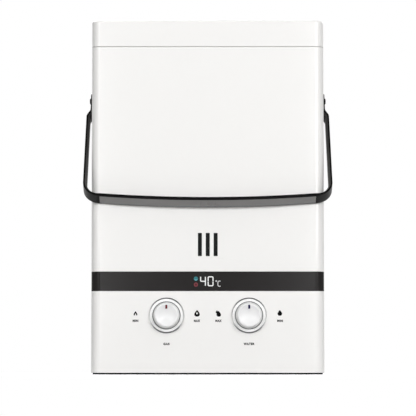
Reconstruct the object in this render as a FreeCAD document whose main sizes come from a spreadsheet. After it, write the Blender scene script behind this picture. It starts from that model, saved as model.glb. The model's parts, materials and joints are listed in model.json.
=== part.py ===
import FreeCAD, Part
import Sketcher
import math
import os
import re

# Portable gas water heater: a white cabinet with a bail handle, two knobs and a display strip.
# Millimetres and degrees. X runs to the right as seen from the front, Y to the back, Z up from the ground.
# The places below are measured from the middle of the cabinet's depth. CENTRE moves them all so that
# the origin is under the middle of the whole heater, with the handle at rest.

SIZES = [
    ("cabinet_width", 292.0, "outside width of the cabinet"),
    ("cabinet_depth", 148.6, "outside depth of the cabinet"),
    ("overall_height", 445.0, "ground to the top cover's top"),
    ("cap_height", 33.8, "top cover, from the seam to its top"),
    ("ground_gap", 2.0, "ground to the lower edge of the cabinet"),
    ("wall", 3.0, "wall of the moulded cabinet parts"),
    ("corner_radius", 12.0, "upright corners of the cabinet"),
    ("seam_gap", 0.6, "shadow line between cabinet parts"),
    ("back_depth", 22.0, "depth of the back shell's sides"),
    ("lap_depth", 6.0, "overlap of back shell and front cover"),
    ("lap_gap", 0.2, "clearance in the overlap"),
    ("top_edge_radius", 3.0, "rounded top edge"),
    ("top_lip_depth", 9.0, "lip of the top cover inside the cabinet"),
    ("top_lip_wall", 2.0, "thickness of that lip"),
    ("grille_side_margin", 44.0, "cabinet's side to the flue grille"),
    ("grille_front_margin", 32.3, "cabinet's front to the flue grille"),
    ("grille_plate", 1.6, "plate thickness of the grille's rim"),
    ("grille_rim", 6.0, "width of the grille's rim"),
    ("grille_skirt", 1.2, "wall that carries the louvres"),
    ("grille_drop", 11.0, "depth of that wall"),
    ("louvre_count", 7.0, "louvre blades"),
    ("louvre_blade", 1.2, "thickness of a blade"),
    ("louvre_tilt", 38.0, "blade slope from upright"),
    ("louvre_gap", 1.5, "first and last blade to the wall"),
    ("grille_fit", 0.2, "clearance round the grille"),
    ("band_bottom", 103.9, "ground to the display strip"),
    ("band_height", 24.4, "height of the display strip"),
    ("band_thickness", 1.0, "thickness of the display strip"),
    ("band_end", 10.0, "strip's end in front of the side seam"),
    ("window_width", 52.0, "opening behind the strip"),
    ("window_height", 18.0, "height of that opening"),
    ("module_depth", 8.0, "depth of the display module"),
    ("module_flange", 6.0, "rim of the display module behind the cover"),
    ("module_plate", 1.6, "thickness of that rim"),
    ("slot_width", 4.95, "sight slots"),
    ("slot_height", 29.1, "height of a sight slot"),
    ("slot_spacing", 9.85, "spacing of the sight slots"),
    ("slot_bottom", 147.6, "ground to the sight slots"),
    ("slot_count", 3.0, "number of sight slots"),
    ("sight_margin", 7.0, "glass beyond the slots on each side"),
    ("sight_plate", 1.5, "thickness of the sight glass"),
    ("knob_spacing", 103.0, "between the knob axes"),
    ("knob_height", 73.5, "ground to the knob axes"),
    ("knob_radius", 17.4, "foot of a knob"),
    ("knob_face_radius", 14.2, "front face of a knob"),
    ("knob_reach", 15.0, "knob in front of the cabinet"),
    ("knob_shoulder", 5.0, "height of the knob's upright foot"),
    ("knob_lift", 0.8, "gap behind a knob"),
    ("knob_dish", 0.8, "hollow of the front face"),
    ("pointer_width", 2.5, "coloured pointer"),
    ("pointer_length", 5.0, "length of the pointer"),
    ("pointer_offset", 11.4, "knob axis to the pointer's middle"),
    ("pointer_thickness", 1.2, "depth of the pointer inlay"),
    ("bezel_radius", 22.6, "outside of the knob's ring"),
    ("bezel_crest_radius", 20.4, "highest line of the ring"),
    ("bezel_edge", 1.4, "height of the ring's outer edge"),
    ("bezel_reach", 3.8, "height of the ring"),
    ("bezel_gap", 0.5, "between ring and knob"),
    ("bezel_spigot", 1.4, "wall of the ring's spigot in the cover"),
    ("spindle_radius", 3.0, "valve spindle"),
    ("running_gap", 0.05, "radial clearance of pins and spindles"),
    ("pivot_drop", 60.6, "seam down to the handle's pivots"),
    ("pivot_radius", 2.5, "shank of a pivot screw"),
    ("pivot_head_radius", 4.1, "head of a pivot screw"),
    ("pivot_head", 1.4, "height of that head"),
    ("pivot_head_edge", 0.5, "upright edge of that head"),
    ("pivot_head_top", 2.9, "radius of that head's flat top"),
    ("strap_width", 17.0, "handle strap, flat side"),
    ("strap_thickness", 4.6, "handle strap, thickness"),
    ("strap_edge", 0.9, "bevel of the strap's long edges"),
    ("tab_thickness", 4.0, "flat end of the strap"),
    ("tab_gap", 0.3, "between strap end and cabinet"),
    ("tab_end", 10.0, "strap beyond the pivot"),
    ("tab_flat", 0.1, "flat left in the middle of the strap's round end"),
    ("joggle_start", 20.0, "pivot to the start of the joggle"),
    ("joggle_end", 28.5, "pivot to the end of the joggle"),
    ("joggle_bend", 8.0, "bend radius of the joggle"),
    ("joggle_step", 4.85, "outward step of the strap at the joggle"),
    ("arm_splay", 0.9, "arm's lean outwards from joggle to corner"),
    ("handle_reach", 163.1, "pivot to the bar's outer side, in the middle"),
    ("handle_corner", 21.0, "outer radius of the handle's corners"),
    ("bar_bow", 6.0, "outward bow of the bar"),
    ("handle_rest_gap", 0.3, "between bar and cabinet at rest"),
    ("grip_thickness", 1.2, "thickness of the grip strip"),
    ("grip_rim", 1.5, "strap beside the grip strip"),
    ("notch_spacing", 9.2, "spacing of the grip's notches"),
    ("notch_width", 2.5, "notch along the bar"),
    ("notch_length", 8.0, "notch across the bar"),
    ("notch_depth", 0.5, "depth of a notch"),
    ("bracket_size", 34.0, "side of the plate behind a pivot"),
    ("bracket_thickness", 2.5, "thickness of that plate"),
    ("foot_height", 4.0, "rubber foot"),
    ("foot_radius", 11.0, "radius of a foot"),
    ("foot_edge", 1.3, "bevel round a foot"),
    ("foot_inset", 27.0, "foot to the cabinet's side and front"),
    ("plate", 2.0, "bottom plate"),
    ("plate_flange", 12.0, "flange of the bottom plate at the back"),
    ("sheet", 1.2, "sheet metal of the burner and flue parts"),
    ("screw_head_radius", 3.6, "back screws"),
    ("screw_head", 2.2, "height of a screw head"),
    ("screw_radius", 1.9, "shank of a back screw"),
    ("screw_length", 9.0, "length of that shank"),
    ("screw_inset", 38.0, "cabinet's side to the outer back screws"),
    ("port_height", 50.0, "ground to the pipe connections"),
    ("nipple_length", 15.0, "thread behind the cabinet"),
    ("water_thread_radius", 10.478, "half of a G 1/2 thread's outside diameter"),
    ("gas_thread_radius", 7.938, "half of a 5/8 inch flare thread's outside diameter"),
    ("thread_gap", 0.2, "clearance of a nipple's neck in the back wall"),
    ("neck_rim", 1.5, "neck in the back wall, beyond the thread"),
    ("thread_relief", 1.5, "length of the groove behind the thread"),
    ("thread_depth", 1.2, "depth of that groove"),
    ("nipple_flange", 3.0, "thickness of a nipple's flange"),
    ("flange_rim", 3.5, "flange beyond the thread"),
    ("nipple_tail", 6.0, "tail of a nipple in front of its flange"),
    ("nipple_tail_wall", 3.0, "tail's radius beyond the pipe's"),
    ("gas_bore", 3.5, "bore of the gas connection, radius"),
    ("water_bore", 4.5, "bore of the water connections, radius"),
    ("outlet_inset", 28.0, "cabinet's side to the hot water outlet"),
    ("pipe_radius", 6.0, "copper pipes"),
    ("pipe_straight", 0.8, "straight end of a pipe before its first bend"),
    ("valve_width", 42.0, "valve bodies, along X"),
    ("valve_depth", 36.0, "valve bodies, along Y"),
    ("valve_bottom", 38.0, "ground to the valve bodies"),
    ("valve_height", 56.0, "height of the valve bodies"),
    ("valve_setback", 12.0, "cover's inner side to the valve bodies"),
    ("valve_edge", 4.0, "rounding of the valve bodies"),
    ("boss_radius", 9.0, "bosses of the valves"),
    ("boss_length", 6.0, "height of those bosses"),
    ("feed_pipe_radius", 4.5, "pipe from the gas valve to the manifold"),
    ("feed_boss_radius", 7.0, "boss for that pipe"),
    ("spindle_end_gap", 1.0, "room at the end of a spindle's bore"),
    ("spindle_bore", 18.0, "depth of the spindle's bore in the valve"),
    ("drain_setback", 12.0, "valve's front to the drain plug"),
    ("drain_radius", 10.0, "head of the drain plug"),
    ("drain_head", 14.0, "height of that head"),
    ("drain_gap", 1.0, "gap round that head"),
    ("drain_stem", 6.0, "radius of the plug's stem"),
    ("micro_width", 28.0, "flow switch on the water valve, along X"),
    ("micro_depth", 14.0, "flow switch, along Y"),
    ("micro_height", 12.0, "flow switch, upright"),
    ("manifold_side", 10.0, "gas manifold's square section"),
    ("manifold_setback", 12.0, "cover's inner side to the manifold"),
    ("nozzle_radius", 3.0, "nozzles of the manifold"),
    ("burner_bottom", 112.0, "ground to the burner tray"),
    ("burner_height", 40.0, "height of the burner tray"),
    ("burner_count", 8.0, "number of burner blades"),
    ("burner_margin", 15.3, "tray's wall to the outer burner blade"),
    ("burner_width", 8.0, "thickness of a burner blade"),
    ("burner_mouth", 16.0, "height of the air mouth"),
    ("burner_slot", 3.0, "flame slot along the blade"),
    ("burner_slot_spacing", 13.0, "spacing of the flame slots"),
    ("burner_slot_count", 6.0, "flame slots of one blade"),
    ("burner_slot_depth", 4.0, "depth of the flame slots"),
    ("burner_rib", 2.0, "blade beside a flame slot"),
    ("stack_side_gap", 42.0, "cover's inner side to burner tray and chamber"),
    ("stack_front_gap", 25.3, "cover's inner front to burner tray and chamber"),
    ("chamber_height", 133.0, "height of the combustion chamber"),
    ("chamber_sill", 3.0, "chamber's lower edge to its window"),
    ("exchanger_height", 46.0, "height of the heat exchanger"),
    ("bend_play", 0.01, "straight left between the two halves of a U bend"),
    ("fin_count", 7.0, "fins of the heat exchanger"),
    ("fin_thickness", 0.8, "thickness of a fin"),
    ("fin_margin", 4.0, "fins to the casing's upper and lower edge"),
    ("tube_radius", 6.5, "tube in the heat exchanger"),
    ("tube_margin", 6.8, "casing's wall to the outer passes of the tube"),
    ("tube_stub", 5.0, "tube beyond the casing"),
    ("riser_gap", 13.0, "cover's inner side to the cold riser"),
    ("cell_radius", 16.6, "D cell"),
    ("cell_length", 61.0, "length of a D cell"),
    ("cell_gap", 1.0, "clearance of the cells"),
    ("cell_tip_radius", 5.0, "button of a cell"),
    ("cell_tip", 1.5, "height of that button"),
    ("tray_wall", 1.5, "wall of the battery tray"),
    ("tray_lift", 1.0, "bottom plate's flange to the battery tray"),
    ("door_thickness", 2.5, "battery door"),
    ("door_gap", 0.4, "gap round the battery door"),
    ("door_pin_radius", 1.0, "pivot pins of the battery door"),
    ("door_pin_length", 2.5, "length of their holes"),
    ("door_pin_gap", 0.25, "pin's end to the end of its hole"),
    ("door_hollow_radius", 9.0, "finger hollow of the battery door"),
    ("switch_inset", 40.0, "cabinet's side to the power switch"),
    ("switch_height", 60.0, "ground to the power switch"),
    ("switch_width", 15.0, "switch rim, along X"),
    ("switch_length", 21.0, "switch rim, upright"),
    ("switch_rim", 1.5, "rim of the switch in front of the back wall"),
    ("switch_body_depth", 16.0, "switch behind the back wall's face"),
    ("switch_wall", 1.5, "wall of the switch"),
    ("rocker_gap", 0.4, "gap beside the rocker"),
    ("rocker_throw", 12.0, "rocker's tilt to each side"),
    ("rocker_drop", 5.0, "rocker axis behind the back wall's face"),
    ("vent_count", 7.0, "air slots of the back, in one column"),
    ("vent_width", 62.0, "length of an air slot"),
    ("vent_slot", 3.0, "height of an air slot"),
    ("vent_spacing", 8.0, "spacing of the air slots"),
    ("vent_bottom", 118.0, "ground to the lowest air slot"),
    ("vent_inset", 37.0, "cabinet's side to the air slots"),
    ("floor_vent_length", 32.0, "air slots of the bottom plate, along Y"),
    ("support_flange", 14.0, "feet and shelves of the tray's posts"),
    ("support_setback", 10.0, "tray's back to the posts"),
    ("control_width", 84.0, "control unit, along X"),
    ("control_height", 70.0, "control unit, upright"),
    ("control_depth", 16.0, "control unit, along Y"),
    ("control_bottom", 220.0, "ground to the control unit"),
    ("control_corner", 4.0, "rounding of the control unit's case"),
    ("electrode_offset", 39.4, "middle to the outer electrodes"),
    ("electrode_gap", 12.0, "between the two spark electrodes"),
    ("electrode_height", 14.0, "chamber's lower edge to the electrodes"),
    ("rod_inside", 14.0, "electrode inside the chamber"),
    ("rod_outside", 12.0, "electrode in front of the chamber"),
    ("rod_collar", 2.0, "ceramic inside the chamber"),
    ("rod_radius", 3.0, "ceramic of an electrode"),
    ("rod_wire", 1.0, "radius of the electrode's wire"),
    ("thermostat_radius", 6.0, "overheat switch"),
    ("thermostat_height", 9.0, "height of the overheat switch"),
    ("thermostat_rim_radius", 8.0, "rim of the overheat switch"),
    ("thermostat_rim", 3.0, "thickness of that rim"),
    ("nozzle_hole", 2.0, "air hole of the tray in front of a nozzle"),
    ("knob_socket", 7.5, "cabinet's front to the end of the spindle in the knob"),
]

doc = FreeCAD.newDocument("water_heater")
sheet = doc.addObject("Spreadsheet::Sheet", "Sizes")
for row, (name, number, note) in enumerate(SIZES, start=1):
    sheet.set(f"A{row}", name)
    sheet.set(f"B{row}", str(number))
    sheet.setAlias(f"B{row}", name)
    sheet.set(f"C{row}", note)
doc.recompute()

KNOWN = {name for name, number, note in SIZES}
WORD = re.compile(r"[a-z_]+")
SUB_PARTS = []


def formula(text):
    """Write a sum of the sheet's names in the form that an expression of the document reads."""
    return WORD.sub(lambda word: f"Sizes.{word[0]}" if word[0] in KNOWN else word[0], str(text))


def value(text):
    """Work a formula out to a plain number."""
    number = sheet.evalExpression(formula(text))
    return float(getattr(number, "Value", number))


def count(text):
    return int(round(value(text)))


# Levels and planes that many parts share, as formulas of the sheet's names.
SIDE = "(cabinet_width / 2)"
INSIDE = "(cabinet_width / 2 - wall)"
FRONT = "(-cabinet_depth / 2)"
BACK = "(cabinet_depth / 2)"
FRONT_INSIDE = "(wall - cabinet_depth / 2)"
BACK_INSIDE = "(cabinet_depth / 2 - wall)"
SEAM = "(cabinet_depth / 2 - back_depth)"
RIM = "(overall_height - cap_height)"
PIVOT_LEVEL = f"({RIM} - pivot_drop)"
KNOB_X = "(knob_spacing / 2)"
CHAMBER_BOTTOM = "(burner_bottom + burner_height)"
EXCHANGER_BOTTOM = f"({CHAMBER_BOTTOM} + chamber_height)"
EXCHANGER_TOP = f"({EXCHANGER_BOTTOM} + exchanger_height)"
TUBE_LEVEL = f"({EXCHANGER_BOTTOM} + exchanger_height / 2)"
VALVE_FRONT = f"({FRONT_INSIDE} + valve_setback)"
VALVE_BACK = f"({VALVE_FRONT} + valve_depth)"
VALVE_TOP = "(valve_bottom + valve_height)"
FLOOR_TOP = "(foot_height + plate)"
GRILLE_X = "(cabinet_width / 2 - grille_side_margin)"
GRILLE_Y = "(cabinet_depth / 2 - grille_front_margin)"
STACK_X = f"({INSIDE} - stack_side_gap)"
STACK_Y = f"({BACK_INSIDE} - stack_front_gap)"
OUTLET_X = "(cabinet_width / 2 - outlet_inset)"
SWITCH_X = "(switch_inset - cabinet_width / 2)"
SCREW_X = "(cabinet_width / 2 - screw_inset)"
VENT_X = "(cabinet_width / 2 - vent_inset - vent_width / 2)"

# The strap's arms stand out from the cabinet beyond the joggle, and lean outwards to the corners.
ARM_TOP = "(cabinet_width / 2 + tab_gap + tab_thickness + joggle_step)"
ARM_LOW = f"({ARM_TOP} + arm_splay)"
GRIP_HALF = f"({ARM_LOW} - handle_corner)"
# On the side towards the cabinet the joggle's bends come this much lower.
JOGGLE_LAG = (
    "(strap_thickness"
    " * tan(atan(joggle_step / (joggle_end - joggle_start)) / 2))"
)

# The bar's inner side is an arc. Where it passes the cabinet's front face it touches first, at the
# ends of the flat front, and that sets the angle at which the handle leans on the cabinet.
INNER_REACH = "(handle_reach - strap_thickness)"
BOW_RADIUS = f"(({GRIP_HALF} ^ 2 + bar_bow ^ 2) / (2 * bar_bow))"
TOUCH_X = "(cabinet_width / 2 - corner_radius)"
TOUCH_REACH = f"({INNER_REACH} - {BOW_RADIUS} + sqrt({BOW_RADIUS} ^ 2 - {TOUCH_X} ^ 2))"
TOUCH_RADIUS = f"sqrt({TOUCH_REACH} ^ 2 + (strap_width / 2) ^ 2)"
REST_ANGLE = (
    f"(asin((cabinet_depth / 2 + handle_rest_gap) / {TOUCH_RADIUS})"
    f" + atan(strap_width / 2 / {TOUCH_REACH}))"
)

# How far the heater reaches in front of and behind the cabinet's middle.
FRONT_REACH = (
    f"((handle_reach - strap_edge) * sin({REST_ANGLE})"
    f" + strap_width / 2 * cos({REST_ANGLE}))"
)
CENTRE = f"(({FRONT_REACH} - cabinet_depth / 2 - nipple_length) / 2)"


# Ways to place and draw.

def place(part, x="0", y="0", z="0", axis=(1, 0, 0), angle="0"):
    """Put a sub-part at a point of the cabinet, turned about an axis through that point."""
    turn = FreeCAD.Rotation(FreeCAD.Vector(*axis), value(angle))
    part.Placement = FreeCAD.Placement(FreeCAD.Vector(), turn)
    part.setExpression("Placement.Rotation.Angle", formula(angle))
    part.setExpression("Placement.Base.x", formula(x))
    part.setExpression("Placement.Base.y", formula(f"{CENTRE} + {y}"))
    part.setExpression("Placement.Base.z", formula(z))


def new_body(label, kept=True, **where):
    body = doc.addObject("PartDesign::Body", label)
    body.Label = label
    place(body, **where)
    if kept:
        SUB_PARTS.append(body)
    return body


def new_sketch(body, plane, offset="0"):
    """Start a sketch on one of the body's own planes, moved along the plane's normal."""
    sketch = body.newObject("Sketcher::SketchObject", f"{body.Name}_outline")
    support = [item for item in body.Origin.OriginFeatures if item.Role == f"{plane}_Plane"][0]
    sketch.AttachmentSupport = [(support, "")]
    sketch.MapMode = "FlatFace"
    sketch.setExpression("AttachmentOffset.Base.z", formula(offset))
    return sketch


def fix(sketch, kind, text, *geometry):
    """Add a constraint whose size is bound to the sheet."""
    number = sketch.addConstraint(Sketcher.Constraint(kind, *geometry, value(text)))
    sketch.setExpression(f"Constraints[{number}]", formula(text))


def pin(sketch, line, end, x, y):
    fix(sketch, "DistanceX", x, -1, 1, line, end)
    fix(sketch, "DistanceY", y, -1, 1, line, end)


def draw_lines(sketch, points):
    ends = points[1:] + points[:1]
    lines = []
    for start, end in zip(points, ends):
        side = Part.LineSegment(FreeCAD.Vector(*start), FreeCAD.Vector(*end))
        lines.append(sketch.addGeometry(side, False))
    return lines


def polygon(sketch, corners):
    """Draw a closed outline of straight sides, every corner pinned to the sheet."""
    lines = draw_lines(sketch, [(value(x), value(y), 0) for x, y in corners])
    for index, line in enumerate(lines):
        following = lines[(index + 1) % len(lines)]
        sketch.addConstraint(Sketcher.Constraint("Coincident", line, 2, following, 1))
        pin(sketch, line, 1, *corners[index])
    return sketch


def outline(sketch, corners):
    """Draw a closed outline with sides along the axes. A corner with a third value is rounded."""
    total = len(corners)
    points = [FreeCAD.Vector(value(corner[0]), value(corner[1]), 0) for corner in corners]
    radii = [value(corner[2]) if len(corner) > 2 else 0 for corner in corners]
    ways = [(points[(i + 1) % total] - points[i]).normalize() for i in range(total)]
    lines = []
    for i in range(total):
        start = points[i] + ways[i] * radii[i]
        end = points[(i + 1) % total] - ways[i] * radii[(i + 1) % total]
        lines.append(sketch.addGeometry(Part.LineSegment(start, end), False))
    for i in range(total):
        before = i - 1
        if not radii[i]:
            sketch.addConstraint(Sketcher.Constraint("Coincident", lines[before], 2, lines[i], 1))
            continue
        centre = points[i] + (ways[i] - ways[before]) * radii[i]
        arrive = points[i] - ways[before] * radii[i] - centre
        leave = points[i] + ways[i] * radii[i] - centre
        left_turn = ways[before].cross(ways[i]).z > 0
        first, last = (arrive, leave) if left_turn else (leave, arrive)
        sweep = (math.atan2(first.y, first.x), math.atan2(last.y, last.x))
        circle_shape = Part.Circle(centre, FreeCAD.Vector(0, 0, 1), radii[i])
        arc = sketch.addGeometry(Part.ArcOfCircle(circle_shape, *sweep), False)
        arc_in, arc_out = (1, 2) if left_turn else (2, 1)
        sketch.addConstraint(Sketcher.Constraint("Tangent", lines[before], 2, arc, arc_in))
        sketch.addConstraint(Sketcher.Constraint("Tangent", arc, arc_out, lines[i], 1))
        fix(sketch, "Radius", corners[i][2], arc)
    for i in range(total):
        level = abs(ways[i].x) > abs(ways[i].y)
        sketch.addConstraint(Sketcher.Constraint("Horizontal" if level else "Vertical", lines[i]))
        if level:
            fix(sketch, "DistanceY", corners[i][1], -1, 1, lines[i], 1)
        else:
            fix(sketch, "DistanceX", corners[i][0], -1, 1, lines[i], 1)
    return sketch


def rectangle(sketch, left, right, low, high, radius=None):
    corners = [(left, low), (right, low), (right, high), (left, high)]
    if radius is not None:
        corners = [(x, y, radius) for x, y in corners]
    return outline(sketch, corners)


def circle(sketch, x, y, radius):
    centre = FreeCAD.Vector(value(x), value(y), 0)
    ring = sketch.addGeometry(Part.Circle(centre, FreeCAD.Vector(0, 0, 1), value(radius)), False)
    pin(sketch, ring, 3, x, y)
    fix(sketch, "Radius", radius, ring)
    return sketch


def extrude(body, kind, sketch, length, backwards, both_ways):
    feature = body.newObject(f"PartDesign::{kind}", kind)
    feature.Profile = sketch
    feature.SideType = "Symmetric" if both_ways else "One side"
    feature.Reversed = backwards
    feature.setExpression("Length", formula(length))
    doc.recompute()
    return feature


def pad(body, sketch, length, backwards=False, both_ways=False):
    return extrude(body, "Pad", sketch, length, backwards, both_ways)


def pocket(body, sketch, length, backwards=False, both_ways=False):
    """Cut a sketch out of the body and make sure that it takes something away."""
    whole = body.Shape.Volume
    feature = extrude(body, "Pocket", sketch, length, backwards, both_ways)
    if not body.Shape.Volume < whole - 1e-6:
        raise ValueError(f"a pocket of {body.Label} cuts nothing")
    return feature


def revolve(body, sketch):
    feature = body.newObject("PartDesign::Revolution", "Revolution")
    feature.Profile = sketch
    feature.ReferenceAxis = (sketch, ["V_Axis"])
    feature.Angle = 360
    doc.recompute()
    return feature


def turned(label, profile, kept=True, **where):
    """Turn a profile of (radius, height) corners about the body's own Z axis."""
    body = new_body(label, kept, **where)
    revolve(body, polygon(new_sketch(body, "XZ"), profile))
    return body


def repeat(body, feature, sketch, axis, pitch, copies):
    """Repeat a feature along an axis of its sketch."""
    pattern = body.newObject("PartDesign::LinearPattern", "LinearPattern")
    pattern.Originals = [feature]
    pattern.Direction = (sketch, [axis])
    pattern.setExpression("Length", formula(f"{pitch} * ({copies} - 1)"))
    pattern.setExpression("Occurrences", formula(copies))
    body.Tip = pattern
    doc.recompute()
    return pattern


def dress(body, kind, measure, size, wanted):
    """Work on the edges of the body that the function picks."""
    tip = body.Tip
    names = [f"Edge{i}" for i, edge in enumerate(tip.Shape.Edges, start=1) if wanted(edge)]
    if not names:
        raise ValueError(f"no edge of {body.Label} for a {kind}")
    feature = body.newObject(f"PartDesign::{kind}", kind)
    feature.Base = (tip, names)
    feature.setExpression(measure, formula(size))
    doc.recompute()
    return feature


def fillet(body, radius, wanted):
    return dress(body, "Fillet", "Radius", radius, wanted)


def chamfer(body, size, wanted):
    return dress(body, "Chamfer", "Size", size, wanted)


def runs_along(edge, axis):
    """Tell whether an edge is straight and parallel to the axis numbered 0, 1 or 2."""
    if edge.Curve.TypeId != "Part::GeomLine":
        return False
    return abs(abs(edge.Curve.Direction[axis]) - 1) < 1e-6


def at_level(edge, axis, text):
    """Tell whether the whole edge lies in the plane at that place on the axis numbered 0, 1 or 2."""
    box = edge.BoundBox
    low = (box.XMin, box.YMin, box.ZMin)[axis]
    high = (box.XMax, box.YMax, box.ZMax)[axis]
    return abs(low - value(text)) < 1e-3 and abs(high - value(text)) < 1e-3


def set_shape(label, shape):
    """Add a sub-part whose shape is worked out in this file from the sheet."""
    part = doc.addObject("Part::Feature", label)
    part.Label = label
    part.Shape = shape
    place(part)
    SUB_PARTS.append(part)
    return part


def group(label, pattern, places):
    """Add copies of one turned piece, each given as (x, y, z, axis, angle), as one sub-part."""
    copies = []
    for x, y, z, axis, angle in places:
        copy = pattern.Shape.copy()
        spot = FreeCAD.Vector(value(x), value(y), value(z))
        copy.Placement = FreeCAD.Placement(spot, FreeCAD.Rotation(FreeCAD.Vector(*axis), angle))
        copies.append(copy)
    return set_shape(label, Part.makeCompound(copies))


def corner_arc(before, corner, after, bend):
    """Work out where an arc of the bend radius starts and ends at a corner, and its centre."""
    inward = (before - corner).normalize()
    onward = (after - corner).normalize()
    half_turn = (math.pi - inward.getAngle(onward)) / 2
    cut = bend * math.tan(half_turn)
    centre = corner + (inward + onward).normalize() * (bend / math.cos(half_turn))
    return corner + inward * cut, corner + onward * cut, centre


def disc(middle, way, radius):
    """A flat disc across a pipe's path."""
    return Part.Face(Part.Wire(Part.Circle(middle, way, radius).toShape()))


def bent_run(first, last, centre, radius):
    """Sweep a pipe's section from one point to another round a centre."""
    axis = (first - centre).cross(last - centre).normalize()
    angle = math.degrees((first - centre).getAngle(last - centre))
    return disc(first, axis.cross(first - centre), radius).revolve(centre, axis, angle)


def pipe(label, route, radius="pipe_radius", bend="pipe_straight"):
    """Add a drawn pipe: straight runs along a route of points, joined by arcs of the bend radius.

    The pipes lie closed in between valves and connections, so their bore is left out.
    """
    points = [FreeCAD.Vector(*(value(number) for number in point)) for point in route]
    outside = value(radius)
    runs = []
    start = points[0]
    for before, corner, after in zip(points, points[1:], points[2:]):
        first, last, centre = corner_arc(before, corner, after, value(bend))
        runs.append(disc(start, first - start, outside).extrude(first - start))
        runs.append(bent_run(first, last, centre, outside))
        start = last
    end = points[-1]
    runs.append(disc(start, end - start, outside).extrude(end - start))
    solid = runs[0] if len(runs) == 1 else runs[0].multiFuse(runs[1:])
    return set_shape(label, solid.removeSplitter())


# Casing.

def make_front_cover():
    """The moulded front with both sides, open at the back, top and bottom."""
    body = new_body("front_cover")
    skin = f"({SIDE} - wall / 2)"
    lap = f"({SEAM} - lap_depth)"
    inner = "corner_radius - wall"
    pad(body, outline(new_sketch(body, "XY", "ground_gap"), [
        (f"-{SIDE}", SEAM),
        (f"-{SIDE}", FRONT, "corner_radius"),
        (SIDE, FRONT, "corner_radius"),
        (SIDE, SEAM),
        (skin, SEAM),
        (skin, lap),
        (INSIDE, lap),
        (INSIDE, FRONT_INSIDE, inner),
        (f"-{INSIDE}", FRONT_INSIDE, inner),
        (f"-{INSIDE}", lap),
        (f"-{skin}", lap),
        (f"-{skin}", SEAM),
    ]), f"{RIM} - ground_gap")
    seat = strip_outline(new_sketch(body, "XY", "band_bottom"), "band_thickness")
    pocket(body, seat, "band_height", backwards=True)
    window = rectangle(
        new_sketch(body, "XZ", BACK),
        "-window_width / 2",
        "window_width / 2",
        "band_bottom + (band_height - window_height) / 2",
        "band_bottom + (band_height + window_height) / 2",
    )
    pocket(body, window, "2 * wall")
    slots = new_sketch(body, "XZ", BACK)
    left_slot = "(-slot_spacing * (slot_count - 1) / 2)"
    rectangle(
        slots,
        f"{left_slot} - slot_width / 2",
        f"{left_slot} + slot_width / 2",
        "slot_bottom",
        "slot_bottom + slot_height",
    )
    slot = pocket(body, slots, "2 * wall")
    repeat(body, slot, slots, "H_Axis", "slot_spacing", "slot_count")
    holes = new_sketch(body, "XZ", BACK)
    for side in ("-", ""):
        circle(holes, f"{side}{KNOB_X}", "knob_height", "knob_radius + bezel_gap + bezel_spigot")
    pocket(body, holes, "2 * wall")
    pivots = circle(new_sketch(body, "YZ"), "0", PIVOT_LEVEL, "pivot_radius + running_gap")
    pocket(body, pivots, "2 * cabinet_width", both_ways=True)
    return body


def strip_outline(sketch, over):
    """The display strip seen from above: flush with the cabinet, or reaching over it to cut its seat."""
    end = f"({SEAM} - lap_depth - band_end)"
    low = "band_thickness"
    outer = f"({SIDE} + {over})"
    face = f"({FRONT} - {over})"
    inner = f"({SIDE} - {low})"
    return outline(sketch, [
        (f"-{outer}", end),
        (f"-{outer}", face, f"corner_radius + {over}"),
        (outer, face, f"corner_radius + {over}"),
        (outer, end),
        (inner, end),
        (inner, f"{FRONT} + {low}", f"corner_radius - {low}"),
        (f"-{inner}", f"{FRONT} + {low}", f"corner_radius - {low}"),
        (f"-{inner}", end),
    ])


def make_display_strip():
    """The dark strip that runs round the front between the two sides."""
    body = new_body("display_strip")
    pad(body, strip_outline(new_sketch(body, "XY", "band_bottom"), "0"), "band_height")


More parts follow.
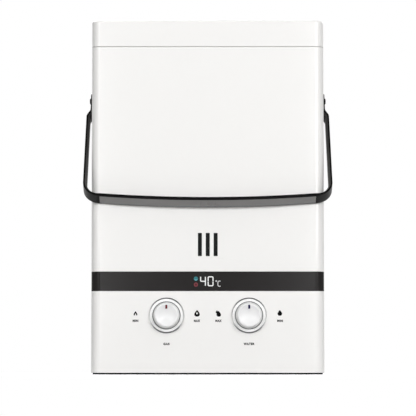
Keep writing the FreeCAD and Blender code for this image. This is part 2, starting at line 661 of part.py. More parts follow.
def make_back_shell():
    """The back wall with shallow sides, whose tongue slips into the front cover."""
    body = new_body("back_shell")
    edge = f"({SEAM} + seam_gap)"
    tongue = f"({INSIDE} + wall / 2 - lap_gap)"
    tip = f"({SEAM} - lap_depth + lap_gap)"
    inner = "corner_radius - wall"
    pad(body, outline(new_sketch(body, "XY", "ground_gap"), [
        (SIDE, edge),
        (SIDE, BACK, "corner_radius"),
        (f"-{SIDE}", BACK, "corner_radius"),
        (f"-{SIDE}", edge),
        (f"-{tongue}", edge),
        (f"-{tongue}", tip),
        (f"-{INSIDE}", tip),
        (f"-{INSIDE}", BACK_INSIDE, inner),
        (INSIDE, BACK_INSIDE, inner),
        (INSIDE, tip),
        (tongue, tip),
        (tongue, edge),
    ]), f"{RIM} - ground_gap")
    holes = new_sketch(body, "XZ", FRONT)
    for x, thread in (
        (f"-{KNOB_X}", "gas_thread_radius"),
        (KNOB_X, "water_thread_radius"),
        (OUTLET_X, "water_thread_radius"),
    ):
        circle(holes, x, "port_height", f"{thread} + neck_rim + thread_gap")
    for x, z in screw_places():
        circle(holes, x, z, "screw_radius")
    pocket(body, holes, "2 * wall", backwards=True)
    door = rectangle(
        new_sketch(body, "XZ", FRONT),
        f"-({DOOR_HALF} + door_gap)",
        f"{DOOR_HALF} + door_gap",
        f"{DOOR_AXIS} - door_thickness / 2 - door_gap",
        f"{DOOR_TOP} + door_gap",
    )
    pocket(body, door, "2 * wall", backwards=True)
    pin_hole = "door_pin_radius + running_gap"
    pins = circle(new_sketch(body, "YZ"), f"{BACK} - wall / 2", DOOR_AXIS, pin_hole)
    pocket(body, pins, f"2 * ({DOOR_HALF} + door_gap + door_pin_length)", both_ways=True)
    switch = rectangle(
        new_sketch(body, "XZ", FRONT),
        f"{SWITCH_X} - switch_width / 2 + switch_wall",
        f"{SWITCH_X} + switch_width / 2 - switch_wall",
        "switch_height - switch_length / 2 + switch_wall",
        "switch_height + switch_length / 2 - switch_wall",
    )
    pocket(body, switch, "2 * wall", backwards=True)
    for side in ("-", ""):
        vents = rectangle(
            new_sketch(body, "XZ", FRONT),
            f"{side}{VENT_X} - vent_width / 2",
            f"{side}{VENT_X} + vent_width / 2",
            "vent_bottom",
            "vent_bottom + vent_slot",
        )
        slot = pocket(body, vents, "2 * wall", backwards=True)
        repeat(body, slot, vents, "V_Axis", "vent_spacing", "vent_count")


def screw_places():
    """The back screws: three into the top cover's lip and three into the bottom plate's flange."""
    levels = (f"{RIM} - top_lip_depth / 2", f"{FLOOR_TOP} + plate_flange / 2")
    return [(f"{share} * {SCREW_X}", z) for z in levels for share in (-1, 0, 1)]


def make_top_cover():
    """The moulded cap, with a seat for the flue grille and a lip inside the cabinet."""
    body = new_body("top_cover")
    base = f"({RIM} + seam_gap)"
    pad(body, rectangle(
        new_sketch(body, "XY", base),
        f"-{SIDE}", SIDE, FRONT, BACK, "corner_radius",
    ), f"overall_height - {base}")
    fillet(body, "top_edge_radius", lambda edge: at_level(edge, 2, "overall_height"))
    step = "(wall + lap_gap + top_lip_wall)"
    hollow = rectangle(
        new_sketch(body, "XY", base),
        f"-({SIDE} - {step})",
        f"{SIDE} - {step}",
        f"{FRONT} + {step}",
        f"{BACK} - {step}",
        f"corner_radius - {step}",
    )
    pocket(body, hollow, f"overall_height - {base} - wall", backwards=True)
    lip = new_sketch(body, "XY", base)
    for inset in ("(wall + lap_gap)", step):
        rectangle(
            lip,
            f"-({SIDE} - {inset})",
            f"{SIDE} - {inset}",
            f"{FRONT} + {inset}",
            f"{BACK} - {inset}",
            f"corner_radius - {inset}",
        )
    pad(body, lip, "seam_gap + top_lip_depth", backwards=True)
    seat = rectangle(
        new_sketch(body, "XY", "overall_height"),
        f"-{GRILLE_X} - grille_fit",
        f"{GRILLE_X} + grille_fit",
        f"-{GRILLE_Y} - grille_fit",
        f"{GRILLE_Y} + grille_fit",
    )
    pocket(body, seat, "grille_plate")
    throat = rectangle(
        new_sketch(body, "XY", "overall_height"),
        f"-{GRILLE_X} + grille_rim",
        f"{GRILLE_X} - grille_rim",
        f"-{GRILLE_Y} + grille_rim",
        f"{GRILLE_Y} - grille_rim",
    )
    pocket(body, throat, "2 * wall")
    screws = new_sketch(body, "XZ", f"-{BACK}")
    for x, z in screw_places()[:3]:
        circle(screws, x, z, "screw_radius")
    pocket(body, screws, "2 * wall + lap_gap", backwards=True)


def make_flue_grille():
    """The stamped flue outlet: a rim, a skirt and sloping louvre blades between its ends."""
    body = new_body("flue_grille", z="overall_height")
    rim = rectangle(
        new_sketch(body, "XY"),
        f"-{GRILLE_X}", GRILLE_X, f"-{GRILLE_Y}", GRILLE_Y,
    )
    pad(body, rim, "grille_plate", backwards=True)
    outer = "(grille_rim + grille_fit)"
    skirt = rectangle(
        new_sketch(body, "XY"),
        f"-{GRILLE_X} + {outer}",
        f"{GRILLE_X} - {outer}",
        f"-{GRILLE_Y} + {outer}",
        f"{GRILLE_Y} - {outer}",
    )
    pad(body, skirt, "grille_drop", backwards=True)
    inner = "(grille_rim + grille_fit + grille_skirt)"
    throat = rectangle(
        new_sketch(body, "XY"),
        f"-{GRILLE_X} + {inner}",
        f"{GRILLE_X} - {inner}",
        f"-{GRILLE_Y} + {inner}",
        f"{GRILLE_Y} - {inner}",
    )
    pocket(body, throat, "2 * grille_drop")
    blade = new_sketch(body, "YZ")
    high = "-grille_plate / 2"
    lean = "((grille_drop - grille_plate / 2) * tan(louvre_tilt))"
    across = "(louvre_blade / cos(louvre_tilt))"
    first = f"({inner} + louvre_gap - {GRILLE_Y})"
    polygon(blade, [
        (f"{first} + {lean}", "-grille_drop"),
        (f"{first} + {lean} + {across}", "-grille_drop"),
        (f"{first} + {across}", high),
        (first, high),
    ])
    louvre = pad(body, blade, f"2 * ({GRILLE_X} - {inner}) + grille_skirt", both_ways=True)
    spacing = f"((2 * ({GRILLE_Y} - {inner} - louvre_gap) - {lean} - {across}) / (louvre_count - 1))"
    repeat(body, louvre, blade, "H_Axis", spacing, "louvre_count")


def make_bottom_plate():
    """The floor of the cabinet, with air slots and a flange for the back screws."""
    body = new_body("bottom_plate")
    pad(body, rectangle(
        new_sketch(body, "XY", "foot_height"),
        f"-{INSIDE}", INSIDE, FRONT_INSIDE, BACK_INSIDE, "corner_radius - wall",
    ), "plate")
    flange = rectangle(
        new_sketch(body, "XY", FLOOR_TOP),
        f"-{SCREW_X} - 3 * screw_head_radius",
        f"{SCREW_X} + 3 * screw_head_radius",
        f"{BACK_INSIDE} - plate",
        BACK_INSIDE,
    )
    pad(body, flange, "plate_flange")
    drain = circle(new_sketch(body, "XY", "foot_height"), KNOB_X, DRAIN_Y, "drain_radius + drain_gap")
    pocket(body, drain, "2 * plate", backwards=True)
    screws = new_sketch(body, "XZ", f"-{BACK}")
    for x, z in screw_places()[3:]:
        circle(screws, x, z, "screw_radius")
    pocket(body, screws, "2 * wall", backwards=True)
    vents = rectangle(
        new_sketch(body, "XY", "foot_height"),
        f"-{VENT_X} - vent_width / 2",
        f"-{VENT_X} - vent_width / 2 + vent_slot",
        "-floor_vent_length / 2",
        "floor_vent_length / 2",
    )
    slot = pocket(body, vents, "2 * plate", backwards=True)
    repeat(body, slot, vents, "H_Axis", "vent_spacing", "vent_count")


def make_feet():
    """Four rubber feet pressed to the bottom plate."""
    foot = turned("foot_pattern", [
        ("0", "0"),
        ("foot_radius - foot_edge", "0"),
        ("foot_radius", "foot_edge"),
        ("foot_radius", "foot_height"),
        ("0", "foot_height"),
    ], kept=False)
    x = f"({SIDE} - foot_inset)"
    y = f"({BACK} - foot_inset)"
    spots = [(f"{a} * {x}", f"{b} * {y}", "0", (0, 0, 1), 0) for a in (-1, 1) for b in (-1, 1)]
    group("feet", foot, spots)


def make_back_screws():
    """Pan-head screws that hold the back wall to the top cover and the bottom plate."""
    screw = turned("screw_pattern", [
        ("0", "-screw_length"),
        ("screw_radius", "-screw_length"),
        ("screw_radius", "0"),
        ("screw_head_radius", "0"),
        ("screw_head_radius", "screw_head"),
        ("0", "screw_head"),
    ], kept=False)
    spots = [(x, BACK, z, (1, 0, 0), -90) for x, z in screw_places()]
    group("back_screws", screw, spots)


# Front trim and controls.

def make_display_module():
    """The lamp block and its circuit board behind the strip."""
    body = new_body("display_module")
    level = "(band_bottom + band_height / 2)"
    block = rectangle(
        new_sketch(body, "XZ", f"-({FRONT} + band_thickness)"),
        "-window_width / 2 + lap_gap",
        "window_width / 2 - lap_gap",
        f"{level} - window_height / 2 + lap_gap",
        f"{level} + window_height / 2 - lap_gap",
    )
    pad(body, block, "module_depth", backwards=True)
    board = rectangle(
        new_sketch(body, "XZ", f"-{FRONT_INSIDE}"),
        "-window_width / 2 - module_flange",
        "window_width / 2 + module_flange",
        f"{level} - window_height / 2 - module_flange / 2",
        f"{level} + window_height / 2 + module_flange / 2",
    )
    pad(body, board, "module_plate", backwards=True)


SIGHT_HALF = "(slot_spacing * (slot_count - 1) / 2 + slot_width / 2 + sight_margin)"


def make_sight_glass():
    """The mica pane behind the three sight slots."""
    body = new_body("sight_glass")
    pane = rectangle(
        new_sketch(body, "XZ", f"-{FRONT_INSIDE}"),
        f"-{SIGHT_HALF}",
        SIGHT_HALF,
        "slot_bottom - sight_margin",
        "slot_bottom + slot_height + sight_margin",
    )
    pad(body, pane, "sight_plate", backwards=True)


FACING_FRONT = {"axis": (1, 0, 0), "angle": "90"}
FACING_BACK = {"axis": (1, 0, 0), "angle": "-90"}


def make_control(name, side):
    """One control: the ring in the cover, the knob with its pointer, and the valve spindle."""
    where = dict(FACING_FRONT, x=f"{side}{KNOB_X}", y=FRONT, z="knob_height")
    bore = "(knob_radius + bezel_gap)"
    turned(f"{name}_bezel", [
        (bore, "-wall"),
        (f"{bore} + bezel_spigot", "-wall"),
        (f"{bore} + bezel_spigot", "0"),
        ("bezel_radius", "0"),
        ("bezel_radius", "bezel_edge"),
        ("bezel_crest_radius", "bezel_reach"),
        (bore, "bezel_reach - bezel_gap"),
    ], **where)
    knob = turned(f"{name}_knob", [
        ("spindle_radius", "knob_lift"),
        ("knob_radius", "knob_lift"),
        ("knob_radius", "knob_shoulder"),
        ("knob_face_radius", "knob_reach"),
        ("0", "knob_reach - knob_dish"),
        ("0", "knob_socket"),
        ("spindle_radius", "knob_socket"),
    ], **where)
    inlay = rectangle(
        new_sketch(knob, "XY", "knob_reach"),
        "-pointer_width / 2",
        "pointer_width / 2",
        "pointer_offset - pointer_length / 2",
        "pointer_offset + pointer_length / 2",
    )
    pocket(knob, inlay, "pointer_thickness")
    pointer = new_body(f"{name}_pointer", **where)
    bar = rectangle(
        new_sketch(pointer, "XY", "knob_reach - pointer_thickness"),
        "-pointer_width / 2",
        "pointer_width / 2",
        "pointer_offset - pointer_length / 2",
        "pointer_offset + pointer_length / 2",
    )
    pad(pointer, bar, "pointer_thickness")
    turned(f"{name}_spindle", [
        ("0", SPINDLE_END),
        ("spindle_radius", SPINDLE_END),
        ("spindle_radius", "knob_socket"),
        ("0", "knob_socket"),
    ], **where)


# The spindle ends in the valve, near the bottom of its bore, counted from the cabinet's front face.
SPINDLE_END = "(spindle_end_gap - wall - valve_setback - spindle_bore)"


# Handle.

def make_handle():
    """The bail: a strap with joggled ends, rounded corners and a bowed bar.

    It is drawn hanging straight down from its pivots and then swung forward to its rest.
    """
    body = new_body("handle", z=PIVOT_LEVEL, axis=(1, 0, 0), angle=f"-{REST_ANGLE}")
    tab_in = f"({SIDE} + tab_gap)"
    tab_out = f"({SIDE} + tab_gap + tab_thickness)"
    low = f"({INNER_REACH} - bar_bow)"
    sketch = new_sketch(body, "XZ")
    outer_side = [(tab_out, "tab_end"), (tab_out, "-joggle_start"), (ARM_TOP, "-joggle_end")]
    inner_side = [
        (tab_in, "tab_end"),
        (tab_in, f"-joggle_start - {JOGGLE_LAG}"),
        (f"{ARM_TOP} - strap_thickness", f"-joggle_end - {JOGGLE_LAG}"),
    ]
    draw_strap(sketch, outer_side, inner_side, low)
    pad(body, sketch, "strap_width", both_ways=True)
    fillet(body, "joggle_bend", is_joggle)
    fillet(body, "strap_width / 2 - tab_flat", is_tab_corner)
    chamfer(body, "strap_edge", is_long_edge)
    seat = grip_outline(new_sketch(body, "XZ"), "grip_thickness")
    pocket(body, seat, "strap_width - 2 * grip_rim", both_ways=True)
    bore = circle(new_sketch(body, "YZ"), "0", "0", "pivot_radius + running_gap")
    pocket(body, bore, "2 * cabinet_width", both_ways=True)


def is_joggle(edge):
    """Pick the four bends on each arm where the strap steps away from the cabinet."""
    if not runs_along(edge, 1):
        return False
    z = edge.CenterOfMass.z
    return -value(f"joggle_end + {JOGGLE_LAG}") - 1e-3 < z < -value("joggle_start") + 1e-3


def is_tab_corner(edge):
    return runs_along(edge, 0) and at_level(edge, 2, "tab_end")


def is_long_edge(edge):
    """Pick the strap's long edges below the joggle."""
    half = value("strap_width / 2")
    below = edge.BoundBox.ZMin < -value("joggle_end")
    return below and abs(abs(edge.CenterOfMass.y) - half) < 1e-3


def draw_strap(sketch, outer_side, inner_side, low):
    """Draw the strap's edge-on outline: both arms, the corners and the bowed bar."""
    corner = value("handle_corner")
    thick = value("strap_thickness")
    spread = value(ARM_LOW)
    half = value(GRIP_HALF)
    bottom = value(f"{low} + strap_thickness")
    start = [FreeCAD.Vector(value(x), value(z), 0) for x, z in outer_side]
    inner = [FreeCAD.Vector(value(x), value(z), 0) for x, z in inner_side]
    arm_end = FreeCAD.Vector(spread, -bottom + corner, 0)
    bar_end = FreeCAD.Vector(half, -bottom, 0)
    inset = corner * (1 - math.sqrt(0.5))
    knee = FreeCAD.Vector(spread - inset, -bottom + inset, 0)
    inner_arm_end = arm_end - FreeCAD.Vector(thick, 0, 0)
    inner_bar_end = bar_end + FreeCAD.Vector(0, thick, 0)
    inner_knee = knee + FreeCAD.Vector(-thick * math.sqrt(0.5), thick * math.sqrt(0.5), 0)
    bow = FreeCAD.Vector(0, -value("handle_reach"), 0)
    inner_bow = bow + FreeCAD.Vector(0, thick, 0)

    def mirrored(point):
        return FreeCAD.Vector(-point.x, point.y, 0)

    def line(a, b):
        return Part.LineSegment(a, b)

    right = [
        line(start[0], start[1]),
        line(start[1], start[2]),
        line(start[2], arm_end),
        Part.Arc(arm_end, knee, bar_end),
        Part.Arc(bar_end, bow, mirrored(bar_end)),
        Part.Arc(mirrored(bar_end), mirrored(knee), mirrored(arm_end)),
        line(mirrored(arm_end), mirrored(start[2])),
        line(mirrored(start[2]), mirrored(start[1])),
        line(mirrored(start[1]), mirrored(start[0])),
        line(mirrored(start[0]), mirrored(inner[0])),
        line(mirrored(inner[0]), mirrored(inner[1])),
        line(mirrored(inner[1]), mirrored(inner[2])),
        line(mirrored(inner[2]), mirrored(inner_arm_end)),
        Part.Arc(mirrored(inner_arm_end), mirrored(inner_knee), mirrored(inner_bar_end)),
        Part.Arc(mirrored(inner_bar_end), inner_bow, inner_bar_end),
        Part.Arc(inner_bar_end, inner_knee, inner_arm_end),
        line(inner_arm_end, inner[2]),
        line(inner[2], inner[1]),
        line(inner[1], inner[0]),
        line(inner[0], start[0]),
    ]
    sketch.addGeometry(right, False)


def grip_outline(sketch, over):
    """The grip strip seen edge-on: flush with the bar, or reaching over it to cut its seat."""
    half = value(GRIP_HALF)
    radius = value(BOW_RADIUS)
    crown = value("handle_reach")
    faces = []
    for depth in (-value(over), value("grip_thickness")):
        edge_level = -(crown - radius + math.sqrt(radius ** 2 - half ** 2)) + depth
        faces.append((edge_level, -crown + depth))
    (outer_end, outer_mid), (inner_end, inner_mid) = faces
    left_out = FreeCAD.Vector(-half, outer_end, 0)
    right_out = FreeCAD.Vector(half, outer_end, 0)
    right_in = FreeCAD.Vector(half, inner_end, 0)
    left_in = FreeCAD.Vector(-half, inner_end, 0)
    sketch.addGeometry([
        Part.Arc(left_out, FreeCAD.Vector(0, outer_mid, 0), right_out),
        Part.LineSegment(right_out, right_in),
        Part.Arc(right_in, FreeCAD.Vector(0, inner_mid, 0), left_in),
        Part.LineSegment(left_in, left_out),
    ], False)
    return sketch


def make_handle_grip():
    """The soft grip strip in the bar's outer side, with three small notches in its middle."""
    body = new_body("handle_grip", z=PIVOT_LEVEL, axis=(1, 0, 0), angle=f"-{REST_ANGLE}")
    pad(body, grip_outline(new_sketch(body, "XZ"), "0"), "strap_width - 2 * grip_rim", both_ways=True)
    notches = new_sketch(body, "XY", "-handle_reach - grip_thickness")
    rectangle(
        notches,
        "-notch_spacing - notch_width / 2",
        "-notch_spacing + notch_width / 2",
        "-notch_length / 2",
        "notch_length / 2",
    )
    notch = pocket(body, notches, "grip_thickness + notch_depth", backwards=True)
    repeat(body, notch, notches, "H_Axis", "notch_spacing", "3")


def make_pivot_screws():
    """The two shoulder screws that the handle swings on."""
    face = "(tab_gap + tab_thickness + tab_gap)"
    tail = "(-wall - bracket_thickness)"
    screw = turned("pivot_pattern", [
        ("0", tail),
        ("pivot_radius", tail),
        ("pivot_radius", face),
        ("pivot_head_radius", face),
        ("pivot_head_radius", f"{face} + pivot_head_edge"),
        ("pivot_head_top", f"{face} + pivot_head"),
        ("0", f"{face} + pivot_head"),
    ], kept=False)
    group("pivot_screws", screw, [
        (SIDE, "0", PIVOT_LEVEL, (0, 1, 0), 90),
        (f"-{SIDE}", "0", PIVOT_LEVEL, (0, 1, 0), -90),
    ])


def make_pivot_brackets():
    """The plates that take the pivot screws inside the front cover."""
    for name, side in (("left", "-"), ("right", "")):
        body = new_body(f"pivot_bracket_{name}")
        inner = f"{INSIDE} - bracket_thickness" if side == "" else f"-({INSIDE})"
        plate = rectangle(
            new_sketch(body, "YZ", inner),
            "-bracket_size / 2",
            "bracket_size / 2",
            f"{PIVOT_LEVEL} - bracket_size / 2",
            f"{PIVOT_LEVEL} + bracket_size / 2",
            "bracket_thickness",
        )
        pad(body, plate, "bracket_thickness")
        bore = circle(new_sketch(body, "YZ"), "0", PIVOT_LEVEL, "pivot_radius")
        pocket(body, bore, "2 * cabinet_width", both_ways=True)


# Gas and water.

def make_nipple(label, x, thread, bore):
    """A connection through the back wall: a flange inside, a neck, a groove and the thread."""
    flange = "(-wall - nipple_flange)"
    turned(label, [
        (bore, f"{flange} - nipple_tail"),
        ("pipe_radius + nipple_tail_wall", f"{flange} - nipple_tail"),
        ("pipe_radius + nipple_tail_wall", flange),
        (f"{thread} + flange_rim", flange),
        (f"{thread} + flange_rim", "-wall"),
        (f"{thread} + neck_rim", "-wall"),
        (f"{thread} + neck_rim", "0"),
        (f"{thread} - thread_depth", "0"),
        (f"{thread} - thread_depth", "thread_relief"),
        (thread, "thread_relief"),
        (thread, "nipple_length"),
        (bore, "nipple_length"),
    ], x=x, y=BACK, z="port_height", **FACING_BACK)


def make_valve(name, side):
    """A cast valve body behind a knob, with bosses for its spindle and its pipes."""
    x = f"({side}{KNOB_X})"
    body = new_body(f"{name}_valve")
    block = rectangle(
        new_sketch(body, "XY", "valve_bottom"),
        f"{x} - valve_width / 2",
        f"{x} + valve_width / 2",
        VALVE_FRONT,
        VALVE_BACK,
        "valve_edge",
    )
    pad(body, block, "valve_height")
    boss = circle(new_sketch(body, "XZ", f"-{VALVE_FRONT}"), x, "knob_height", "boss_radius")
    pad(body, boss, "boss_length")
    port = circle(new_sketch(body, "XZ", f"-{VALVE_BACK}"), x, "port_height", "boss_radius")
    pad(body, port, "boss_length", backwards=True)
    boss_face = new_sketch(body, "XZ", f"-({VALVE_FRONT} - boss_length)")
    bore = circle(boss_face, x, "knob_height", "spindle_radius + running_gap")
    pocket(body, bore, "boss_length + spindle_bore")
    return body


def make_gas_side():
    """Gas connection, valve, pipes, manifold and burners."""
    make_nipple("gas_inlet", f"-{KNOB_X}", "gas_thread_radius", "gas_bore")
    valve = make_valve("gas", "-")
    top = circle(new_sketch(valve, "XY", VALVE_TOP), f"-{KNOB_X}", MANIFOLD_Y, "feed_boss_radius")
    pad(valve, top, "boss_length")
    tail = f"{BACK_INSIDE} - nipple_flange - nipple_tail"
    pipe("gas_inlet_pipe", [
        (f"-{KNOB_X}", f"{VALVE_BACK} + boss_length", "port_height"),
        (f"-{KNOB_X}", tail, "port_height"),
    ])
    pipe("gas_feed_pipe", [
        (f"-{KNOB_X}", MANIFOLD_Y, f"{VALVE_TOP} + boss_length"),
        (f"-{KNOB_X}", MANIFOLD_Y, MANIFOLD_BOTTOM),
    ], radius="feed_pipe_radius")
    make_manifold()
    make_burner_tray()
    make_burners()


MANIFOLD_Y = f"({FRONT_INSIDE} + manifold_setback + manifold_side / 2)"
MANIFOLD_BOTTOM = "(burner_bottom + burner_mouth / 2 - manifold_side / 2)"
BURNER_LEFT = f"(sheet + burner_margin + burner_width / 2 - {STACK_X})"
BURNER_SPACING = f"(-2 * {BURNER_LEFT} / (burner_count - 1))"


def make_manifold():
    """The square gas pipe with one nozzle for each burner."""
    body = new_body("gas_manifold")
    section = rectangle(
        new_sketch(body, "YZ"),
        f"{MANIFOLD_Y} - manifold_side / 2",
        f"{MANIFOLD_Y} + manifold_side / 2",
        MANIFOLD_BOTTOM,
        f"{MANIFOLD_BOTTOM} + manifold_side",
    )
    pad(body, section, f"{BURNER_SPACING} * burner_count", both_ways=True)
    row = new_sketch(body, "XZ", f"-({MANIFOLD_Y} + manifold_side / 2)")
    circle(row, BURNER_LEFT, f"{MANIFOLD_BOTTOM} + manifold_side / 2", "nozzle_radius")
    gap = f"(-{STACK_Y} - {MANIFOLD_Y} - manifold_side / 2)"
    nozzle = pad(body, row, gap, backwards=True)
    repeat(body, nozzle, row, "H_Axis", BURNER_SPACING, "burner_count")


def stack_ring(body, bottom, height):
    """A sheet-metal frame with the plan of the burner tray, open above and below."""
    ring = new_sketch(body, "XY", bottom)
    for inset in ("0", "sheet"):
        rectangle(
            ring,
            f"-{STACK_X} + {inset}",
            f"{STACK_X} - {inset}",
            f"-{STACK_Y} + {inset}",
            f"{STACK_Y} - {inset}",
        )
    return pad(body, ring, height)


def make_burner_tray():
    """The frame round the burners, with an air hole in front of each of them."""
    body = new_body("burner_tray")
    stack_ring(body, "burner_bottom", "burner_height")
    row = new_sketch(body, "XZ", STACK_Y)
    circle(row, BURNER_LEFT, f"{MANIFOLD_BOTTOM} + manifold_side / 2", "nozzle_hole")
    hole = pocket(body, row, "2 * sheet")
    repeat(body, hole, row, "H_Axis", BURNER_SPACING, "burner_count")


def make_burners():
    """Burner blades: each a flat mixing tube with flame slots along its top."""
    blade = new_body("burner_pattern", kept=False)
    front = f"(sheet - {STACK_Y})"
    back = f"({STACK_Y} - sheet)"
    side = polygon(new_sketch(blade, "YZ"), [
        (front, "burner_bottom"),
        (f"{front} + burner_mouth", "burner_bottom"),
        (f"{front} + 2 * burner_mouth", "burner_bottom + burner_mouth / 2"),
        (back, "burner_bottom + burner_mouth / 2"),
        (back, "burner_bottom + burner_height - burner_slot"),
        (front, "burner_bottom + burner_height - burner_slot"),
        (front, "burner_bottom + burner_mouth * 1.5"),
        (f"{front} + burner_mouth / 2", "burner_bottom + burner_mouth"),
        (front, "burner_bottom + burner_mouth"),
    ])
    pad(blade, side, "burner_width", both_ways=True)
    slots = new_sketch(blade, "XY", "burner_bottom + burner_height - burner_slot")
    rectangle(
        slots,
        "burner_rib - burner_width / 2",
        "burner_width / 2 - burner_rib",
        "-burner_slot_spacing * (burner_slot_count - 1) / 2 - burner_slot / 2",
        "-burner_slot_spacing * (burner_slot_count - 1) / 2 + burner_slot / 2",
    )
    slot = pocket(blade, slots, "burner_slot_depth")
    repeat(blade, slot, slots, "V_Axis", "burner_slot_spacing", "burner_slot_count")
    spots = []
    for index in range(count("burner_count")):
        spots.append((f"{BURNER_LEFT} + {index} * {BURNER_SPACING}", "0", "0", (0, 0, 1), 0))
    group("burners", blade, spots)


DRAIN_Y = f"({VALVE_FRONT} + drain_setback)"


def make_water_side():
    """Water connections, valve, flow switch, drain plug and pipes."""
    make_nipple("water_inlet", KNOB_X, "water_thread_radius", "water_bore")
    make_nipple("water_outlet", OUTLET_X, "water_thread_radius", "water_bore")
    valve = make_valve("water", "")
    branch = circle(new_sketch(valve, "YZ", VALVE_RIGHT), f"-{TUBE_ROW}", "knob_height", "boss_radius")
    pad(valve, branch, "boss_length")
    turned("drain_plug", [
        ("0", "foot_height"),
        ("drain_radius", "foot_height"),
        ("drain_radius", "foot_height + drain_head"),
        ("drain_stem", "foot_height + drain_head"),
        ("drain_stem", "valve_bottom"),
        ("0", "valve_bottom"),
    ], x=KNOB_X, y=DRAIN_Y)
    tail = f"{BACK_INSIDE} - nipple_flange - nipple_tail"
    pipe("water_inlet_pipe", [
        (KNOB_X, f"{VALVE_BACK} + boss_length", "port_height"),
        (KNOB_X, tail, "port_height"),
    ])
    pipe("cold_pipe", [
        (TUBE_END, f"-{TUBE_ROW}", TUBE_LEVEL),
        (RISER_X, f"-{TUBE_ROW}", TUBE_LEVEL),
        (RISER_X, f"-{TUBE_ROW}", "knob_height"),
        (f"{VALVE_RIGHT} + boss_length", f"-{TUBE_ROW}", "knob_height"),
    ], bend=f"{RISER_X} - {TUBE_END} - pipe_straight")
    pipe("hot_pipe", [
        (TUBE_END, TUBE_ROW, TUBE_LEVEL),
        (OUTLET_X, TUBE_ROW, TUBE_LEVEL),
        (OUTLET_X, TUBE_ROW, "port_height"),
        (OUTLET_X, tail, "port_height"),
    ], bend=f"{OUTLET_X} - {TUBE_END} - pipe_straight")
    switch = new_body("micro_switch")
    case = rectangle(
        new_sketch(switch, "XY", VALVE_TOP),
        f"{KNOB_X} - micro_width / 2",
        f"{KNOB_X} + micro_width / 2",
        f"{VALVE_BACK} - valve_edge - micro_depth",
        f"{VALVE_BACK} - valve_edge",
    )
    pad(switch, case, "micro_height")


VALVE_RIGHT = f"({KNOB_X} + valve_width / 2)"
TUBE_ROW = f"({STACK_Y} - sheet - tube_margin - tube_radius)"
TUBE_SPACING = f"({TUBE_ROW} * 2 / 3)"
TUBE_END = f"({STACK_X} + tube_stub)"
RISER_X = f"({INSIDE} - riser_gap - pipe_radius)"


# Fire and flue.

def make_chamber():
    """The combustion chamber, with a window towards the sight slots."""
    body = new_body("combustion_chamber")
    stack_ring(body, CHAMBER_BOTTOM, "chamber_height")
    window = rectangle(
        new_sketch(body, "XZ", STACK_Y),
        f"-{SIGHT_HALF}", SIGHT_HALF, f"{CHAMBER_BOTTOM} + chamber_sill", "slot_bottom + slot_height",
    )
    pocket(body, window, "2 * sheet")
    rods = new_sketch(body, "XZ", STACK_Y)
    for x in ELECTRODES:
        circle(rods, x, ELECTRODE_LEVEL, "rod_radius")
    pocket(body, rods, "2 * sheet")


ELECTRODES = ("-electrode_offset", "-electrode_offset + electrode_gap", "electrode_offset")
ELECTRODE_LEVEL = f"({CHAMBER_BOTTOM} + electrode_height)"


def make_exchanger():
    """The heat exchanger: a casing, a stack of fins and one tube that passes through them four times."""
    casing = new_body("exchanger_casing")
    stack_ring(casing, EXCHANGER_BOTTOM, "exchanger_height")
    cut_tube_rows(casing, "2 * cabinet_width")
    fin = new_body("fin_pattern", kept=False)
    leaf = rectangle(
        new_sketch(fin, "YZ"),
        f"sheet - {STACK_Y}",
        f"{STACK_Y} - sheet",
        f"{EXCHANGER_BOTTOM} + fin_margin",
        f"{EXCHANGER_TOP} - fin_margin",
    )
    pad(fin, leaf, "fin_thickness", both_ways=True)
    cut_tube_rows(fin, "10 * fin_thickness")
    spots = []
    spacing = f"(2 * ({STACK_X} - sheet) / (fin_count + 1))"
    for index in range(count("fin_count")):
        spots.append((f"{spacing} * ({index} - (fin_count - 1) / 2)", "0", "0", (0, 0, 1), 0))
    group("exchanger_fins", fin, spots)
    make_coil()


def make_coil():
    """The tube: four passes through the fins, joined outside the casing by U bends."""
    rows = [f"{share} * {TUBE_SPACING}" for share in (-1.5, -0.5, 0.5, 1.5)]
    ends = [TUBE_END, f"-{BEND_END}", BEND_END, f"-{BEND_END}", TUBE_END]
    route = []
    for row, start, end in zip(rows, ends, ends[1:]):
        route += [(start, row, TUBE_LEVEL), (end, row, TUBE_LEVEL)]
    pipe("exchanger_coil", route, radius="tube_radius", bend=f"{TUBE_SPACING} / 2 - bend_play")


# The U bends turn at their full width, so the coil reaches this far to both sides.
BEND_END = f"({TUBE_END} + {TUBE_SPACING} / 2)"


def cut_tube_rows(body, length):
    holes = new_sketch(body, "YZ")
    for share in (-1.5, -0.5, 0.5, 1.5):
        circle(holes, f"{share} * {TUBE_SPACING}", TUBE_LEVEL, "tube_radius")
    pocket(body, holes, length, both_ways=True)


def make_flue_hood():
    """The hood that narrows from the heat exchanger to the grille."""
    body = new_body("flue_hood")
    top = "(overall_height - grille_drop - sheet)"
    for kind, inset in (("AdditiveLoft", "0"), ("SubtractiveLoft", "sheet")):
        lower = rectangle(
            new_sketch(body, "XY", EXCHANGER_TOP),
            f"-{STACK_X} + {inset}",
            f"{STACK_X} - {inset}",
            f"-{STACK_Y} + {inset}",
            f"{STACK_Y} - {inset}",
        )
        upper = rectangle(
            new_sketch(body, "XY", top),
            f"-{GRILLE_X} + grille_rim + {inset}",
            f"{GRILLE_X} - grille_rim - {inset}",
            f"-{GRILLE_Y} + grille_rim + {inset}",
            f"{GRILLE_Y} - grille_rim - {inset}",
        )
        loft = body.newObject(f"PartDesign::{kind}", kind)
        loft.Profile = lower
        loft.Sections = [upper]
        loft.Ruled = True
        doc.recompute()


